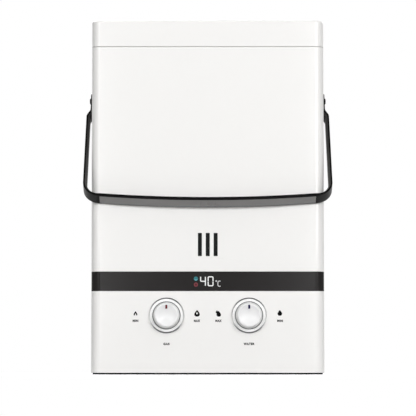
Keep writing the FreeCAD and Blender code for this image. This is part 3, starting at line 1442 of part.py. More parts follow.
def make_supports():
    """The two posts that carry the burner tray on the bottom plate."""
    for name, side in (("left", -1), ("right", 1)):
        body = new_body(f"support_{name}")
        near = f"{side} * ({STACK_X} - support_flange)"
        far = f"{side} * {STACK_X}"
        low, high = (near, far) if side > 0 else (far, near)
        depth = ("0", f"{STACK_Y} - support_setback")
        foot = rectangle(new_sketch(body, "XY", FLOOR_TOP), low, high, *depth)
        pad(body, foot, "sheet")
        web_low, web_high = (f"{far} - sheet", far) if side > 0 else (far, f"{far} + sheet")
        web = rectangle(new_sketch(body, "XY", FLOOR_TOP), web_low, web_high, *depth)
        pad(body, web, f"burner_bottom - {FLOOR_TOP}")
        shelf = rectangle(new_sketch(body, "XY", "burner_bottom"), low, high, *depth)
        pad(body, shelf, "sheet", backwards=True)


# Ignition and power.

def make_rods():
    """Spark electrodes and flame sensor: ceramic rods through the chamber's front, with wire tips."""
    rod = turned("rod_pattern", [
        ("0", "-rod_inside"),
        ("rod_wire", "-rod_inside"),
        ("rod_wire", "-rod_collar"),
        ("rod_radius", "-rod_collar"),
        ("rod_radius", "rod_outside"),
        ("0", "rod_outside"),
    ], kept=False)
    spots = [(x, f"-{STACK_Y}", ELECTRODE_LEVEL, (1, 0, 0), 90) for x in ELECTRODES]
    group("ignition_electrodes", rod, spots[:2])
    group("flame_sensor", rod, spots[2:])


def make_overheat_switch():
    """The small thermostat on the heat exchanger's front."""
    turned("overheat_switch", [
        ("0", "0"),
        ("thermostat_rim_radius", "0"),
        ("thermostat_rim_radius", "thermostat_rim"),
        ("thermostat_radius", "thermostat_rim"),
        ("thermostat_radius", "thermostat_height"),
        ("0", "thermostat_height"),
    ], y=f"-{STACK_Y}", z=TUBE_LEVEL, **FACING_FRONT)


def make_control_box():
    """The igniter and control unit on the back wall."""
    body = new_body("control_box")
    case = rectangle(
        new_sketch(body, "XZ", f"-{BACK_INSIDE}"),
        f"-{STACK_X}",
        f"control_width - {STACK_X}",
        "control_bottom",
        "control_bottom + control_height",
        "control_corner",
    )
    pad(body, case, "control_depth")


TRAY_BOTTOM = f"({FLOOR_TOP} + plate_flange + tray_lift)"
DOOR_HALF = "(2 * cell_radius + cell_gap * 2)"
DOOR_AXIS = f"({TRAY_BOTTOM} + tray_wall + door_thickness / 2 + door_gap)"
DOOR_TOP = f"({TRAY_BOTTOM} + tray_wall + cell_length + cell_gap)"
CELL_Y = f"({BACK_INSIDE} - cell_gap - cell_radius)"


def make_power():
    """Battery tray, two D cells, the hinged door and the power switch."""
    tray = new_body("battery_box")
    depth = "(2 * cell_radius + 2 * cell_gap)"
    height = "(cell_length + cell_gap + 2 * tray_wall)"
    shell = rectangle(
        new_sketch(tray, "XZ", f"-{BACK_INSIDE}"),
        f"-{DOOR_HALF} - tray_wall", f"{DOOR_HALF} + tray_wall", TRAY_BOTTOM, f"{TRAY_BOTTOM} + {height}",
    )
    pad(tray, shell, f"{depth} + tray_wall")
    room = rectangle(
        new_sketch(tray, "XZ", f"-{BACK_INSIDE}"),
        f"-{DOOR_HALF}",
        DOOR_HALF,
        f"{TRAY_BOTTOM} + tray_wall",
        f"{TRAY_BOTTOM} + {height} - tray_wall",
    )
    pocket(tray, room, depth, backwards=True)
    cell = turned("cell_pattern", [
        ("0", "0"),
        ("cell_radius", "0"),
        ("cell_radius", "cell_length - cell_tip"),
        ("cell_tip_radius", "cell_length - cell_tip"),
        ("cell_tip_radius", "cell_length"),
        ("0", "cell_length"),
    ], kept=False)
    spots = []
    for share in (-1, 1):
        x = f"{share} * (cell_radius + cell_gap / 2)"
        spots.append((x, CELL_Y, f"{TRAY_BOTTOM} + tray_wall", (0, 0, 1), 0))
    group("batteries", cell, spots)
    make_door()
    make_switch()


def make_door():
    """The battery door, which swings down on pins at its lower corners."""
    door = new_body("battery_door", y=f"{BACK} - wall / 2", z=DOOR_AXIS)
    height = f"({DOOR_TOP} - {DOOR_AXIS})"
    section = new_sketch(door, "YZ")
    rectangle(section, "-door_thickness / 2", "door_thickness / 2", "0", height)
    pad(door, section, f"2 * {DOOR_HALF}", both_ways=True)
    foot = circle(new_sketch(door, "YZ"), "0", "0", "door_thickness / 2")
    pad(door, foot, f"2 * {DOOR_HALF}", both_ways=True)
    pins = circle(new_sketch(door, "YZ"), "0", "0", "door_pin_radius")
    pad(door, pins, f"2 * ({DOOR_HALF} + door_gap + door_pin_length - door_pin_gap)", both_ways=True)
    hollow = circle(
        new_sketch(door, "XZ", "-door_thickness / 2"), "0", height, "door_hollow_radius"
    )
    pocket(door, hollow, "door_thickness / 2", backwards=True)


def make_switch():
    """The power switch: a housing with a rim on the back wall and a rocker between its walls."""
    box = new_body("switch_housing", x=SWITCH_X, y=BACK, z="switch_height")
    rim = rectangle(
        new_sketch(box, "XZ"),
        "-switch_width / 2", "switch_width / 2", "-switch_length / 2", "switch_length / 2",
    )
    pad(box, rim, "switch_rim", backwards=True)
    half_x = "(switch_width / 2 - switch_wall)"
    half_z = "(switch_length / 2 - switch_wall)"
    tail = rectangle(new_sketch(box, "XZ"), f"-{half_x}", half_x, f"-{half_z}", half_z)
    pad(box, tail, "switch_body_depth")
    room = rectangle(
        new_sketch(box, "XZ", "-switch_rim"),
        f"-{half_x} + switch_wall",
        f"{half_x} - switch_wall",
        f"-{half_z} + switch_wall",
        f"{half_z} - switch_wall",
    )
    pocket(box, room, "switch_rim + switch_body_depth / 2 + switch_wall", backwards=True)
    rocker = new_body(
        "power_rocker", x=SWITCH_X, y=f"{BACK} - rocker_drop", z="switch_height",
        axis=(1, 0, 0), angle="rocker_throw",
    )
    face = "(rocker_drop + switch_rim)"
    room_end = f"({half_z} - switch_wall - rocker_gap)"
    reach = f"(({room_end} - ({face} + switch_wall) * sin(rocker_throw)) / cos(rocker_throw))"
    section = polygon(new_sketch(rocker, "YZ"), [
        ("-switch_wall", f"-{reach} / 3"),
        (f"{face} - switch_wall", f"-{reach}"),
        (f"{face} + switch_wall", f"-{reach}"),
        (face, "0"),
        (f"{face} + switch_wall", reach),
        (f"{face} - switch_wall", reach),
        ("-switch_wall", f"{reach} / 3"),
    ])
    pad(rocker, section, f"2 * ({half_x} - switch_wall - rocker_gap)", both_ways=True)


make_front_cover()
make_display_strip()
make_back_shell()
make_top_cover()
make_flue_grille()
make_bottom_plate()
make_feet()
make_back_screws()
make_display_module()
make_sight_glass()
make_control("gas", "-")
make_control("water", "")
make_handle()
make_handle_grip()
make_pivot_screws()
make_pivot_brackets()
make_gas_side()
make_water_side()
make_chamber()
make_exchanger()
make_flue_hood()
make_supports()
make_rods()
make_overheat_switch()
make_control_box()
make_power()
doc.recompute()

for item in doc.Objects:
    if "Invalid" in item.State or "Error" in item.State:
        raise ValueError(f"{item.Label} of {item.TypeId} failed: {item.State}")

os.makedirs("parts", exist_ok=True)
for part in SUB_PARTS:
    if part.Shape.isNull() or not part.Shape.isValid():
        raise ValueError(f"{part.Label} has no valid shape")
    part.Shape.exportStep(f"parts/{part.Label}.step")
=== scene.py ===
import json
import math

import bmesh
import bpy
from mathutils import Matrix, Vector


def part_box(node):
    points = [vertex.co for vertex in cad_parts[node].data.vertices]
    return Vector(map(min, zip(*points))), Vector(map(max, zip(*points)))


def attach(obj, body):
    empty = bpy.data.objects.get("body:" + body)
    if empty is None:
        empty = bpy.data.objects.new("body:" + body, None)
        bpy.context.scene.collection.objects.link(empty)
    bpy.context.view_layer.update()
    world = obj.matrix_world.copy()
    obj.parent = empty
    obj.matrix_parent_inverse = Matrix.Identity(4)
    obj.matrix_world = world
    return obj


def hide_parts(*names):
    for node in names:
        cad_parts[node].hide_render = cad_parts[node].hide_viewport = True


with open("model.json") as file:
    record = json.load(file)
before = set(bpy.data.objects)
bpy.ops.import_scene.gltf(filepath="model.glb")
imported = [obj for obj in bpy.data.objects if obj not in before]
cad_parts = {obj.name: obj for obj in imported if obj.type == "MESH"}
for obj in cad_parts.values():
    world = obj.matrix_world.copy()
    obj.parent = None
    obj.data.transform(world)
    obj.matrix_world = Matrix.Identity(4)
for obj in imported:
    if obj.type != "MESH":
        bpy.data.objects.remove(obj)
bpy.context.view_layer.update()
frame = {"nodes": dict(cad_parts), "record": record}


# Studio: a pale floor that runs into a white backdrop, two soft boxes and two narrow strip
# boxes on either side of the camera, a soft box overhead and two behind the heater. The floor
# keeps the heater's shadow.

class Wire:
    """The end of a wire in a finish. Sums written on wires add the Math nodes they need."""

    def __init__(self, socket):
        self.socket = socket

    def add(self, kind, settings=None, sources=None, end=0):
        """Add a node of any kind: its settings first, then what its sockets take."""
        tree = self.socket.id_data
        node = tree.nodes.new(f"ShaderNode{kind}")
        for name, setting in (settings or {}).items():
            if name == "stops":
                ramp = node.color_ramp
                while len(ramp.elements) < len(setting):
                    ramp.elements.new(0.5)
                for element, (position, colour) in zip(ramp.elements, setting):
                    element.position = position
                    element.color = colour
            else:
                setattr(node, name, setting)
        for name, source in (sources or {}).items():
            if isinstance(source, Wire):
                tree.links.new(source.socket, node.inputs[name])
            else:
                node.inputs[name].default_value = source
        return Wire(node.outputs[end])

    def sum(self, operation, *terms):
        return self.add("Math", {"operation": operation}, dict(enumerate(terms)))

    def __add__(self, other):
        return self.sum("ADD", self, other)

    def __radd__(self, other):
        return self.sum("ADD", other, self)

    def __sub__(self, other):
        return self.sum("SUBTRACT", self, other)

    def __rsub__(self, other):
        return self.sum("SUBTRACT", other, self)

    def __mul__(self, other):
        return self.sum("MULTIPLY", self, other)

    def __rmul__(self, other):
        return self.sum("MULTIPLY", other, self)

    def __truediv__(self, other):
        return self.sum("DIVIDE", self, other)

    def __gt__(self, other):
        return self.sum("GREATER_THAN", self, other)

    def __abs__(self):
        return self.sum("ABSOLUTE", self)

    def larger(self, other):
        return self.sum("MAXIMUM", self, other)

    def fade(self, low, high, start=0.0, end=1.0):
        """Run smoothly from one value to another while this wire runs from low to high."""
        settings = {"interpolation_type": "SMOOTHSTEP"}
        return self.add("MapRange", settings, {0: self, 1: low, 2: high, 3: start, 4: end})

    def blend(self, dark, light):
        """Mix two colours by this wire."""
        return self.add("Mix", {"data_type": "RGBA"}, {0: self, 6: dark, 7: light}, end=2)

    def part(self, index):
        return self.add("SeparateXYZ", {}, {0: self}, end=index)

    def cloud(self, scale, detail, rough=0.5, stretch=None):
        """Soft random patches, so many to a metre, on the place that this wire carries."""
        place = self
        if stretch:
            place = self.add("VectorMath", {"operation": "MULTIPLY"}, {0: self, 1: stretch})
        sources = {"Vector": place, "Scale": scale, "Detail": detail, "Roughness": rough}
        return self.add("TexNoise", {}, sources)


def screen(red, green, blue):
    """A colour given as it shows on a screen, 0 to 255, for a colour socket."""
    parts = [number / 255 for number in (red, green, blue)]
    return (*(p / 12.92 if p <= 0.04045 else ((p + 0.055) / 1.055) ** 2.4 for p in parts), 1.0)


def new_finish(name):
    """Start a finish. The wire that comes with it carries the place on the piece, in metres."""
    finish = bpy.data.materials.new(name)
    finish.use_nodes = True
    finish.node_tree.nodes.clear()
    coordinates = finish.node_tree.nodes.new("ShaderNodeTexCoord")
    return finish, Wire(coordinates.outputs["Object"])


def close_finish(finish, shader):
    """Lead a shader to the finish's output."""
    tree = finish.node_tree
    output = tree.nodes.new("ShaderNodeOutputMaterial")
    tree.links.new(shader.socket, output.inputs["Surface"])
    return finish


def camera_white(place):
    """1 for rays that come straight from the camera, or by way of gloss or glass."""
    paths = [place.add("LightPath", end=name) for name in (
        "Is Camera Ray", "Is Glossy Ray", "Is Transmission Ray")]
    return paths[0].larger(paths[1]).larger(paths[2])


AMBIENT_LEFT, AMBIENT_RIGHT = 0.34, 0.44
AMBIENT_LEVEL, AMBIENT_RISE = 0.75, 0.6
GLOSS_START, GLOSS_FRONT, GLOSS_BACK = 0.35, 0.16, 1.0
world = bpy.data.worlds.new("studio")
bpy.context.scene.world = world
world.use_nodes = True
world.node_tree.nodes.clear()
sky = Wire(world.node_tree.nodes.new("ShaderNodeTexCoord").outputs["Generated"])
mirrored = sky.add("LightPath", end="Is Glossy Ray")
seen = sky.add("LightPath", end="Is Camera Ray").larger(
    sky.add("LightPath", end="Is Transmission Ray"))
backdrop = sky.part(1).fade(GLOSS_START, 1.0, GLOSS_FRONT, GLOSS_BACK)
ambient = sky.part(0).fade(-1.0, 1.0, AMBIENT_LEFT, AMBIENT_RIGHT) * (
    sky.part(2) * AMBIENT_RISE + AMBIENT_LEVEL)
level = seen + mirrored * backdrop + (1 - seen) * (1 - mirrored) * ambient
background = sky.add("Background", {}, {"Color": (1, 1, 1, 1), "Strength": level})
world_output = world.node_tree.nodes.new("ShaderNodeOutputWorld")
world.node_tree.links.new(background.socket, world_output.inputs["Surface"])

FLOOR_SIDE = 24.0
SHADOW_NEAR, SHADOW_FAR = 0.18, 0.4
PAPER_GREY, PAPER_WHITE = (0.28, 0.28, 0.28, 1), (1.35, 1.35, 1.35, 1)
floor_mesh = bpy.data.meshes.new("floor")
floor_mesh.from_pydata(
    [(a * FLOOR_SIDE, b * FLOOR_SIDE, 0) for a, b in ((-1, -1), (1, -1), (1, 1), (-1, 1))],
    [], [(0, 1, 2, 3)],
)
floor = bpy.data.objects.new("floor", floor_mesh)
bpy.context.scene.collection.objects.link(floor)
floor_finish, spot = new_finish("floor_paper")
seen = camera_white(spot)
distance = spot.add("VectorMath", {"operation": "LENGTH"}, {0: spot}, end=1)
far = distance.fade(SHADOW_NEAR, SHADOW_FAR)
paper = spot.add("BsdfDiffuse", {}, {"Color": seen.blend(PAPER_GREY, PAPER_WHITE)})
glow = spot.add("Emission", {}, {"Color": (1, 1, 1, 1), "Strength": 1.0})
floor_mesh.materials.append(close_finish(
    floor_finish, spot.add("MixShader", {}, {0: far * seen, 1: paper, 2: glow})))


def soft_box(name, place, aim, width, height, watts):
    """A lamp with a flat front of that width and height, turned to the point it aims at."""
    light = bpy.data.lights.new(name, "AREA")
    light.shape = "RECTANGLE"
    light.size, light.size_y, light.energy = width, height, watts
    lamp = bpy.data.objects.new(name, light)
    lamp.location = place
    lamp.rotation_euler = (Vector(aim) - Vector(place)).to_track_quat("-Z", "Y").to_euler()
    bpy.context.scene.collection.objects.link(lamp)


MIDDLE = (0, 0, 0.22)
soft_box("soft_box_right", (2.5, -4.4, 1.65), MIDDLE, 2.2, 2.6, 114)
soft_box("soft_box_left", (-2.5, -4.4, 1.65), MIDDLE, 2.2, 2.6, 73)
soft_box("strip_box_right", (0.48, -4.6, 0.6), MIDDLE, 0.2, 2.2, 13)
soft_box("strip_box_left", (-0.48, -4.6, 0.6), MIDDLE, 0.2, 2.2, 13)
soft_box("soft_box_top", (0.1, 0.8, 3.0), MIDDLE, 2.0, 2.0, 14)
soft_box("soft_box_back", (-1.4, 4.3, 3.1), MIDDLE, 2.4, 1.6, 98)
soft_box("soft_box_back_right", (2.5, 3.7, 2.5), MIDDLE, 1.6, 1.8, 48)

CAMERA_SIDE, CAMERA_FRONT, CAMERA_LEVEL = 0.0003, -2.807, 0.018
CAMERA_TILT, CAMERA_LENS = 3.971, 189.5
camera_data = bpy.data.cameras.new("camera")
camera_data.sensor_width = 36
camera_data.lens = CAMERA_LENS
camera_data.clip_start, camera_data.clip_end = 0.05, 100
camera = bpy.data.objects.new("camera", camera_data)
camera.location = (CAMERA_SIDE, CAMERA_FRONT, CAMERA_LEVEL)
camera.rotation_euler = (math.radians(90 + CAMERA_TILT), 0, 0)
bpy.context.scene.collection.objects.link(camera)
bpy.context.scene.camera = camera
bpy.context.scene.view_settings.view_transform = "Standard"


# Front cover: the front and both sides of the cabinet in one moulding of white ABS, with a
# seat for the display strip, three sight slots and two control holes. Its back edges are
# stepped to lap over the back shell. All sizes from here on are in millimetres.

MM = 0.001
HALF_WIDTH = 146.0
CORNER = 12.0
WALL = 3.0
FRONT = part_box("front_cover")[0].y / MM
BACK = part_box("back_shell")[1].y / MM
SEAM = BACK - 22.0
LAP = 6.0
CABINET_LOW, CABINET_HIGH = 2.0, 411.2
BAND_LOW, BAND_HIGH, BAND_END, BAND_THICK = 103.9, 128.3, SEAM - LAP - 10, 1.0
KNOB_X, KNOB_Z, CONTROL_HOLE = 51.5, 73.5, 19.3
PIVOT_Y, PIVOT_Z, PIVOT_HOLE = (FRONT + BACK) / 2, 350.6, 2.55
SLOT_WIDTH, SLOT_LOW, SLOT_HIGH, SLOT_SPACING = 4.95, 147.6, 176.7, 9.85
WINDOW_HALF, WINDOW_LOW, WINDOW_HIGH = 26, 107.1, 125.1


def rounded(corners, steps):
    """An outline of straight sides. A corner with a third value is rounded by that radius."""
    points = []
    for index, corner in enumerate(corners):
        here = Vector(corner[:2])
        radius = corner[2] if len(corner) > 2 else 0
        if not radius:
            points.append(tuple(here))
            continue
        before = (Vector(corners[index - 1][:2]) - here).normalized()
        after = (Vector(corners[(index + 1) % len(corners)][:2]) - here).normalized()
        half = before.angle(after) / 2
        centre = here + (before + after).normalized() * radius / math.sin(half)
        first = here + before * radius / math.tan(half) - centre
        last = here + after * radius / math.tan(half) - centre
        sweep = (math.pi - 2 * half) * (1 if first.cross(last) > 0 else -1)
        for step in range(steps + 1):
            spoke = first.copy()
            spoke.rotate(Matrix.Rotation(sweep * step / steps, 2))
            points.append(tuple(centre + spoke))
    return points


def oblong(left, right, low, high, radius=0.0):
    """The corners of a rectangle, all rounded alike."""
    return [(x, y, radius) for x, y in ((left, low), (right, low), (right, high), (left, high))]


ALONG = {
    "X": lambda a, b, level: (level, a, b),
    "Y": lambda a, b, level: (a, level, b),
    "Z": lambda a, b, level: (a, b, level),
}


def loft(rings, joined=False):
    """A skin over rings of points, capped, or joined back from the last ring to the first."""
    shape = bmesh.new()
    rows = [[shape.verts.new(point) for point in ring] for ring in rings]
    for lower, upper in zip(rows, rows[1:] + rows[:1] if joined else rows[1:]):
        for here in range(len(lower)):
            there = (here + 1) % len(lower)
            shape.faces.new((lower[here], lower[there], upper[there], upper[here]))
    if not joined:
        shape.faces.new(rows[0][::-1])
        shape.faces.new(rows[-1])
    bmesh.ops.remove_doubles(shape, verts=shape.verts, dist=1e-4)
    bmesh.ops.recalc_face_normals(shape, faces=shape.faces)
    return shape


def bar(outline, low, high, axis="Z"):
    """A straight bar with that outline, from one level to another along an axis."""
    levels = (low, high)
    return loft([[ALONG[axis](*corner[:2], level) for corner in outline] for level in levels])


def pierced(outline, face, reach=5):
    """A cutter with that outline through a wall whose face lies at that level."""
    return bar(outline, face - reach, face + reach, "Y")


def loose(shape, name="loose"):
    """Lay a shape out as an object of its own and let go of the shape."""
    mesh = bpy.data.meshes.new(name)
    shape.to_mesh(mesh)
    shape.free()
    item = bpy.data.objects.new(name, mesh)
    bpy.context.scene.collection.objects.link(item)
    return item


def settled(item):
    """The shape of an object with its modifiers worked in; the object goes."""
    shape = bmesh.new()
    graph = bpy.context.evaluated_depsgraph_get()
    mesh = bpy.data.meshes.new_from_object(item.evaluated_get(graph))
    shape.from_mesh(mesh)
    bpy.data.meshes.remove(mesh)
    bpy.data.objects.remove(item)
    return shape


def cut(shape, tools, ease=0.0, corner=32, rounds=2):
    """Take the tools out of a shape and then ease the edges that are still sharp."""
    item = loose(shape)
    tools = [loose(tool) for tool in tools]
    for tool in tools:
        modifier = item.modifiers.new("cut", "BOOLEAN")
        modifier.operation, modifier.solver, modifier.object = "DIFFERENCE", "EXACT", tool
    if ease:
        modifier = item.modifiers.new("ease", "BEVEL")
        modifier.limit_method, modifier.angle_limit = "ANGLE", math.radians(corner)
        modifier.width, modifier.segments = ease, rounds
        modifier.use_clamp_overlap = False
    shape = settled(item)
    for tool in tools:
        bpy.data.objects.remove(tool)
    return shape


def joined(shapes):
    """One shape out of several that lie side by side."""
    whole = bmesh.new()
    for shape in shapes:
        mesh = bpy.data.meshes.new("share")
        shape.to_mesh(mesh)
        shape.free()
        whole.from_mesh(mesh)
        bpy.data.meshes.remove(mesh)
    return whole


def fit(name, shape, finish, body, slot, *nodes, sharp=34):
    """Make a shape, drawn in millimetres, the named piece on its body."""
    bmesh.ops.transform(shape, matrix=Matrix.Scale(MM, 4), verts=shape.verts)
    piece = loose(shape, name)
    piece.data.materials.clear()
    piece.data.materials.append(finish)
    piece.data.polygons.foreach_set("use_smooth", [True] * len(piece.data.polygons))
    piece.data.set_sharp_from_angle(angle=math.radians(sharp))
    flat = piece.modifiers.new("even", "WEIGHTED_NORMAL")
    flat.keep_sharp = True
    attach(piece, body)
    if nodes:
        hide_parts(*nodes)
    return piece


def coated(finish, place, sockets):
    """Close a finish with one surface shader, given what its sockets take."""
    return close_finish(finish, place.add("BsdfPrincipled", {}, sockets))


def relief(height, depth, strength=1.0):
    """A skin texture for a finish, that many millimetres deep where the wire goes up by 1."""
    return height.add("Bump", {}, {
        "Strength": strength, "Distance": depth * MM, "Height": height})


def moulded(name, colour, gloss, grain=1500.0, depth=0.012, drift=0.02, specular=0.5, coat=0.0):
    """A moulded plastic: near-even colour, a faint skin texture and a gloss that drifts."""
    finish, place = new_finish(name)
    patch = place.cloud(14, 3)
    skin = place.cloud(grain, 2, 0.6)
    swirl = place.cloud(210, 2, 0.6)
    light = tuple(min(1.0, part * (1 + drift)) for part in colour[:3]) + (1.0,)
    dark = tuple(part * (1 - drift) for part in colour[:3]) + (1.0,)
    shine = gloss + (patch - 0.5) * 0.08 + (swirl - 0.5) * 0.05
    return coated(finish, place, {
        "Base Color": patch.blend(dark, light),
        "Roughness": shine,
        "Specular IOR Level": specular,
        "Coat Weight": coat,
        "Coat Roughness": 0.07,
        "Normal": relief(skin + swirl * 1.5, depth),
    })


shell_white = moulded("shell_white", screen(246, 245, 243), 0.36, depth=0.006, drift=0.008,
                      coat=0.5)


def cover_outline(over, end, inset):
    """Three sides seen from above, reaching over the cabinet's skin and in by the inset."""
    side, face = HALF_WIDTH + over, FRONT - over
    inner, depth = HALF_WIDTH - inset, FRONT + inset
    return rounded([
        (-side, end), (-side, face, CORNER + over), (side, face, CORNER + over), (side, end),
        (inner, end), (inner, depth, CORNER - inset), (-inner, depth, CORNER - inset),
        (-inner, end),
    ], 20)


front_shape = bar(cover_outline(0, SEAM, WALL), CABINET_LOW, CABINET_HIGH)
lap_cut = bar([
    (-HALF_WIDTH + WALL / 2, SEAM + 1), (HALF_WIDTH - WALL / 2, SEAM + 1),
    (HALF_WIDTH - WALL / 2, SEAM - LAP), (-HALF_WIDTH + WALL / 2, SEAM - LAP),
], 0, 420)
seat_cut = bar(cover_outline(3, BAND_END, BAND_THICK), BAND_LOW, BAND_HIGH)
window_cut = pierced(oblong(-WINDOW_HALF, WINDOW_HALF, WINDOW_LOW, WINDOW_HIGH), FRONT)
slot_cuts = []
for x in (-SLOT_SPACING, 0, SLOT_SPACING):
    slot = oblong(x - SLOT_WIDTH / 2, x + SLOT_WIDTH / 2, SLOT_LOW, SLOT_HIGH, 0.5)
    slot_cuts.append(pierced(rounded(slot, 4), FRONT))


def disc_outline(x, y, radius, steps=96):
    """A circle as a ring of points."""
    turns = [2 * math.pi * step / steps for step in range(steps)]
    return [(x + radius * math.cos(turn), y + radius * math.sin(turn)) for turn in turns]


control_cuts = [
    pierced(disc_outline(x, KNOB_Z, CONTROL_HOLE), FRONT) for x in (-KNOB_X, KNOB_X)
]
pivot_cut = bar(disc_outline(PIVOT_Y, PIVOT_Z, PIVOT_HOLE, 32), -160, 160, "X")
fit(
    "front_cover_skin",
    cut(front_shape, [lap_cut, seat_cut, window_cut, *slot_cuts, *control_cuts, pivot_cut],
        ease=0.3),
    shell_white, "root", "white_shell", "front_cover",
)


# Base shade strip: a thin black strip that runs round under the cabinet's lower edge, as
# painted shade for the dark gap beneath the cabinet. It stays just off the ground, so that the
# heater stands on its feet.

# A near-black finish for the strip of painted shade under the cabinet.
shade_strip_black = moulded("shade_strip_black", screen(15, 15, 15), 0.7, depth=0.04, drift=0.15,
                      specular=0.1)
SHADE_STRIP_LOW, SHADE_STRIP_HIGH, SHADE_STRIP_INSET, SHADE_STRIP_WIDE = 0.45, 2.02, 2.0, 3.2


def cabinet_ring(inset, level):
    """One level of a piece that runs round the cabinet, set in from the cabinet's skin."""
    corners = oblong(-HALF_WIDTH + inset, HALF_WIDTH - inset, FRONT + inset, BACK - inset,
                     CORNER - inset)
    return [(x, y, level) for x, y in rounded(corners, 20)]


fit("base_trim", loft([
    cabinet_ring(SHADE_STRIP_INSET + 0.5, SHADE_STRIP_LOW),
    cabinet_ring(SHADE_STRIP_INSET + 0.15, SHADE_STRIP_LOW + 0.15),
    cabinet_ring(SHADE_STRIP_INSET, SHADE_STRIP_LOW + 0.5),
    cabinet_ring(SHADE_STRIP_INSET, SHADE_STRIP_HIGH),
    cabinet_ring(SHADE_STRIP_INSET + SHADE_STRIP_WIDE, SHADE_STRIP_HIGH),
    cabinet_ring(SHADE_STRIP_INSET + SHADE_STRIP_WIDE, SHADE_STRIP_LOW + 0.5),
    cabinet_ring(SHADE_STRIP_INSET + SHADE_STRIP_WIDE - 0.5, SHADE_STRIP_LOW),
], joined=True), shade_strip_black, "root", "foot_rubber")


# Back shell: the back wall with shallow sides, moulded in the same white ABS. Its tongue
# slips into the front cover. It is pierced for the pipe connections, the battery door, the
# power switch and two columns of air slots, and six screws hold it.

BACK_EDGE = SEAM + 0.6
TONGUE = HALF_WIDTH - WALL / 2 - 0.2
NIPPLES = {"gas": (-KNOB_X, 7.938), "cold": (KNOB_X, 10.478), "hot": (118.0, 10.478)}
PORT_Z, PORT_GAP = 50.0, 1.7
DOOR_HALF, DOOR_LOW, DOOR_HIGH, DOOR_GAP = 35.2, 20.9, 82.5, 0.4
SWITCH_X, SWITCH_Z, SWITCH_HALF, SWITCH_TALL = -106.0, 60.0, 6, 18
VENT_X, VENT_HALF, VENT_LOW, VENT_TALL, VENT_END = 78, 31, 118.0, 3, 1.4
VENT_ROWS, VENT_SPACING = 7, 8

back_shape = bar(rounded([
    (HALF_WIDTH, BACK_EDGE), (HALF_WIDTH, BACK, CORNER), (-HALF_WIDTH, BACK, CORNER),
    (-HALF_WIDTH, BACK_EDGE), (-TONGUE, BACK_EDGE), (-TONGUE, SEAM - LAP + 0.2),
    (-HALF_WIDTH + WALL, SEAM - LAP + 0.2), (-HALF_WIDTH + WALL, BACK - WALL, CORNER - WALL),
    (HALF_WIDTH - WALL, BACK - WALL, CORNER - WALL), (HALF_WIDTH - WALL, SEAM - LAP + 0.2),
    (TONGUE, SEAM - LAP + 0.2), (TONGUE, BACK_EDGE),
], 20), CABINET_LOW, CABINET_HIGH)
back_holes = [disc_outline(x, PORT_Z, radius + PORT_GAP) for x, radius in NIPPLES.values()]
back_holes.append(oblong(
    -DOOR_HALF - DOOR_GAP, DOOR_HALF + DOOR_GAP, DOOR_LOW - DOOR_GAP, DOOR_HIGH + DOOR_GAP))
back_holes.append(oblong(SWITCH_X - SWITCH_HALF, SWITCH_X + SWITCH_HALF,
                         SWITCH_Z - SWITCH_TALL / 2, SWITCH_Z + SWITCH_TALL / 2))
for side in (-1, 1):
    for row in range(VENT_ROWS):
        low = VENT_LOW + VENT_SPACING * row
        vent = oblong(side * VENT_X - VENT_HALF, side * VENT_X + VENT_HALF,
                      low, low + VENT_TALL, VENT_END)
        back_holes.append(rounded(vent, 5))
back_cuts = [pierced(hole, BACK) for hole in back_holes]
fit("back_shell_skin", cut(back_shape, back_cuts, ease=0.3), shell_white,
    "root", "white_shell", "back_shell")


# Top cover: a moulded cap in white ABS with a rounded top edge, a stepped seat for the flue
# grille and a lip that drops inside the cabinet below the seam.

TOP = 445.0
CAP_LOW = CABINET_HIGH + 0.6
TOP_EDGE = 3.0
GRILLE_X = 102.0
GRILLE_FRONT, GRILLE_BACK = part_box("flue_grille")[0].y / MM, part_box("flue_grille")[1].y / MM
GRILLE_RIM, GRILLE_PLATE, GRILLE_FIT = 6.0, 1.6, 0.2
LIP_INSET, LIP_THICK, LIP_LOW = 3.2, 2.0, CABINET_HIGH - 9


def opening_ring(inset, level):
    """One level of the seat or throat of the flue grille."""
    corners = oblong(-GRILLE_X + inset, GRILLE_X - inset, GRILLE_FRONT + inset,
                     GRILLE_BACK - inset, 0.4)
    return [(x, y, level) for x, y in rounded(corners, 20)]


EASE = 0.3
cap_rings = [cabinet_ring(EASE, CAP_LOW), cabinet_ring(EASE * 0.3, CAP_LOW + EASE * 0.3),
             cabinet_ring(0, CAP_LOW + EASE)]
for step in range(13):
    turn = math.pi / 2 * step / 12
    cap_rings.append(cabinet_ring(TOP_EDGE * (1 - math.cos(turn)),
                                  TOP - TOP_EDGE * (1 - math.sin(turn))))
cap_rings += [
    opening_ring(-GRILLE_FIT - EASE, TOP),
    opening_ring(-GRILLE_FIT, TOP - EASE),
    opening_ring(-GRILLE_FIT, TOP - GRILLE_PLATE),
    opening_ring(GRILLE_RIM, TOP - GRILLE_PLATE),
    opening_ring(GRILLE_RIM, TOP - WALL),
    cabinet_ring(LIP_INSET + LIP_THICK, TOP - WALL),
    cabinet_ring(LIP_INSET + LIP_THICK, LIP_LOW),
    cabinet_ring(LIP_INSET, LIP_LOW),
    cabinet_ring(LIP_INSET, CAP_LOW),
]
fit("top_cover_skin", loft(cap_rings, joined=True), shell_white,
    "root", "white_shell", "top_cover")


# Display strip: a smoked acrylic strip, let in flush round the front and a little way along
# both sides. Behind it shine a two-figure temperature, its unit and two signal lamps.

strip_black, place = new_finish("strip_black")
smear = place.cloud(26, 3, 0.6)
dust = place.cloud(2600, 1) > 0.74
strip_black = coated(strip_black, place, {
    "Base Color": dust.blend(screen(40, 38, 38), screen(53, 51, 50)),
    "Roughness": 0.12 + smear * 0.06 + dust * 0.2,
    "Specular IOR Level": 0.14,
    "Normal": relief(smear + dust * 0.4, 0.003),
})
strip_shape = bar(cover_outline(0, BAND_END, BAND_THICK), BAND_LOW, BAND_HIGH)
fit("display_strip_skin", cut(strip_shape, [], ease=0.2), strip_black,
    "root", "display_black", "display_strip")


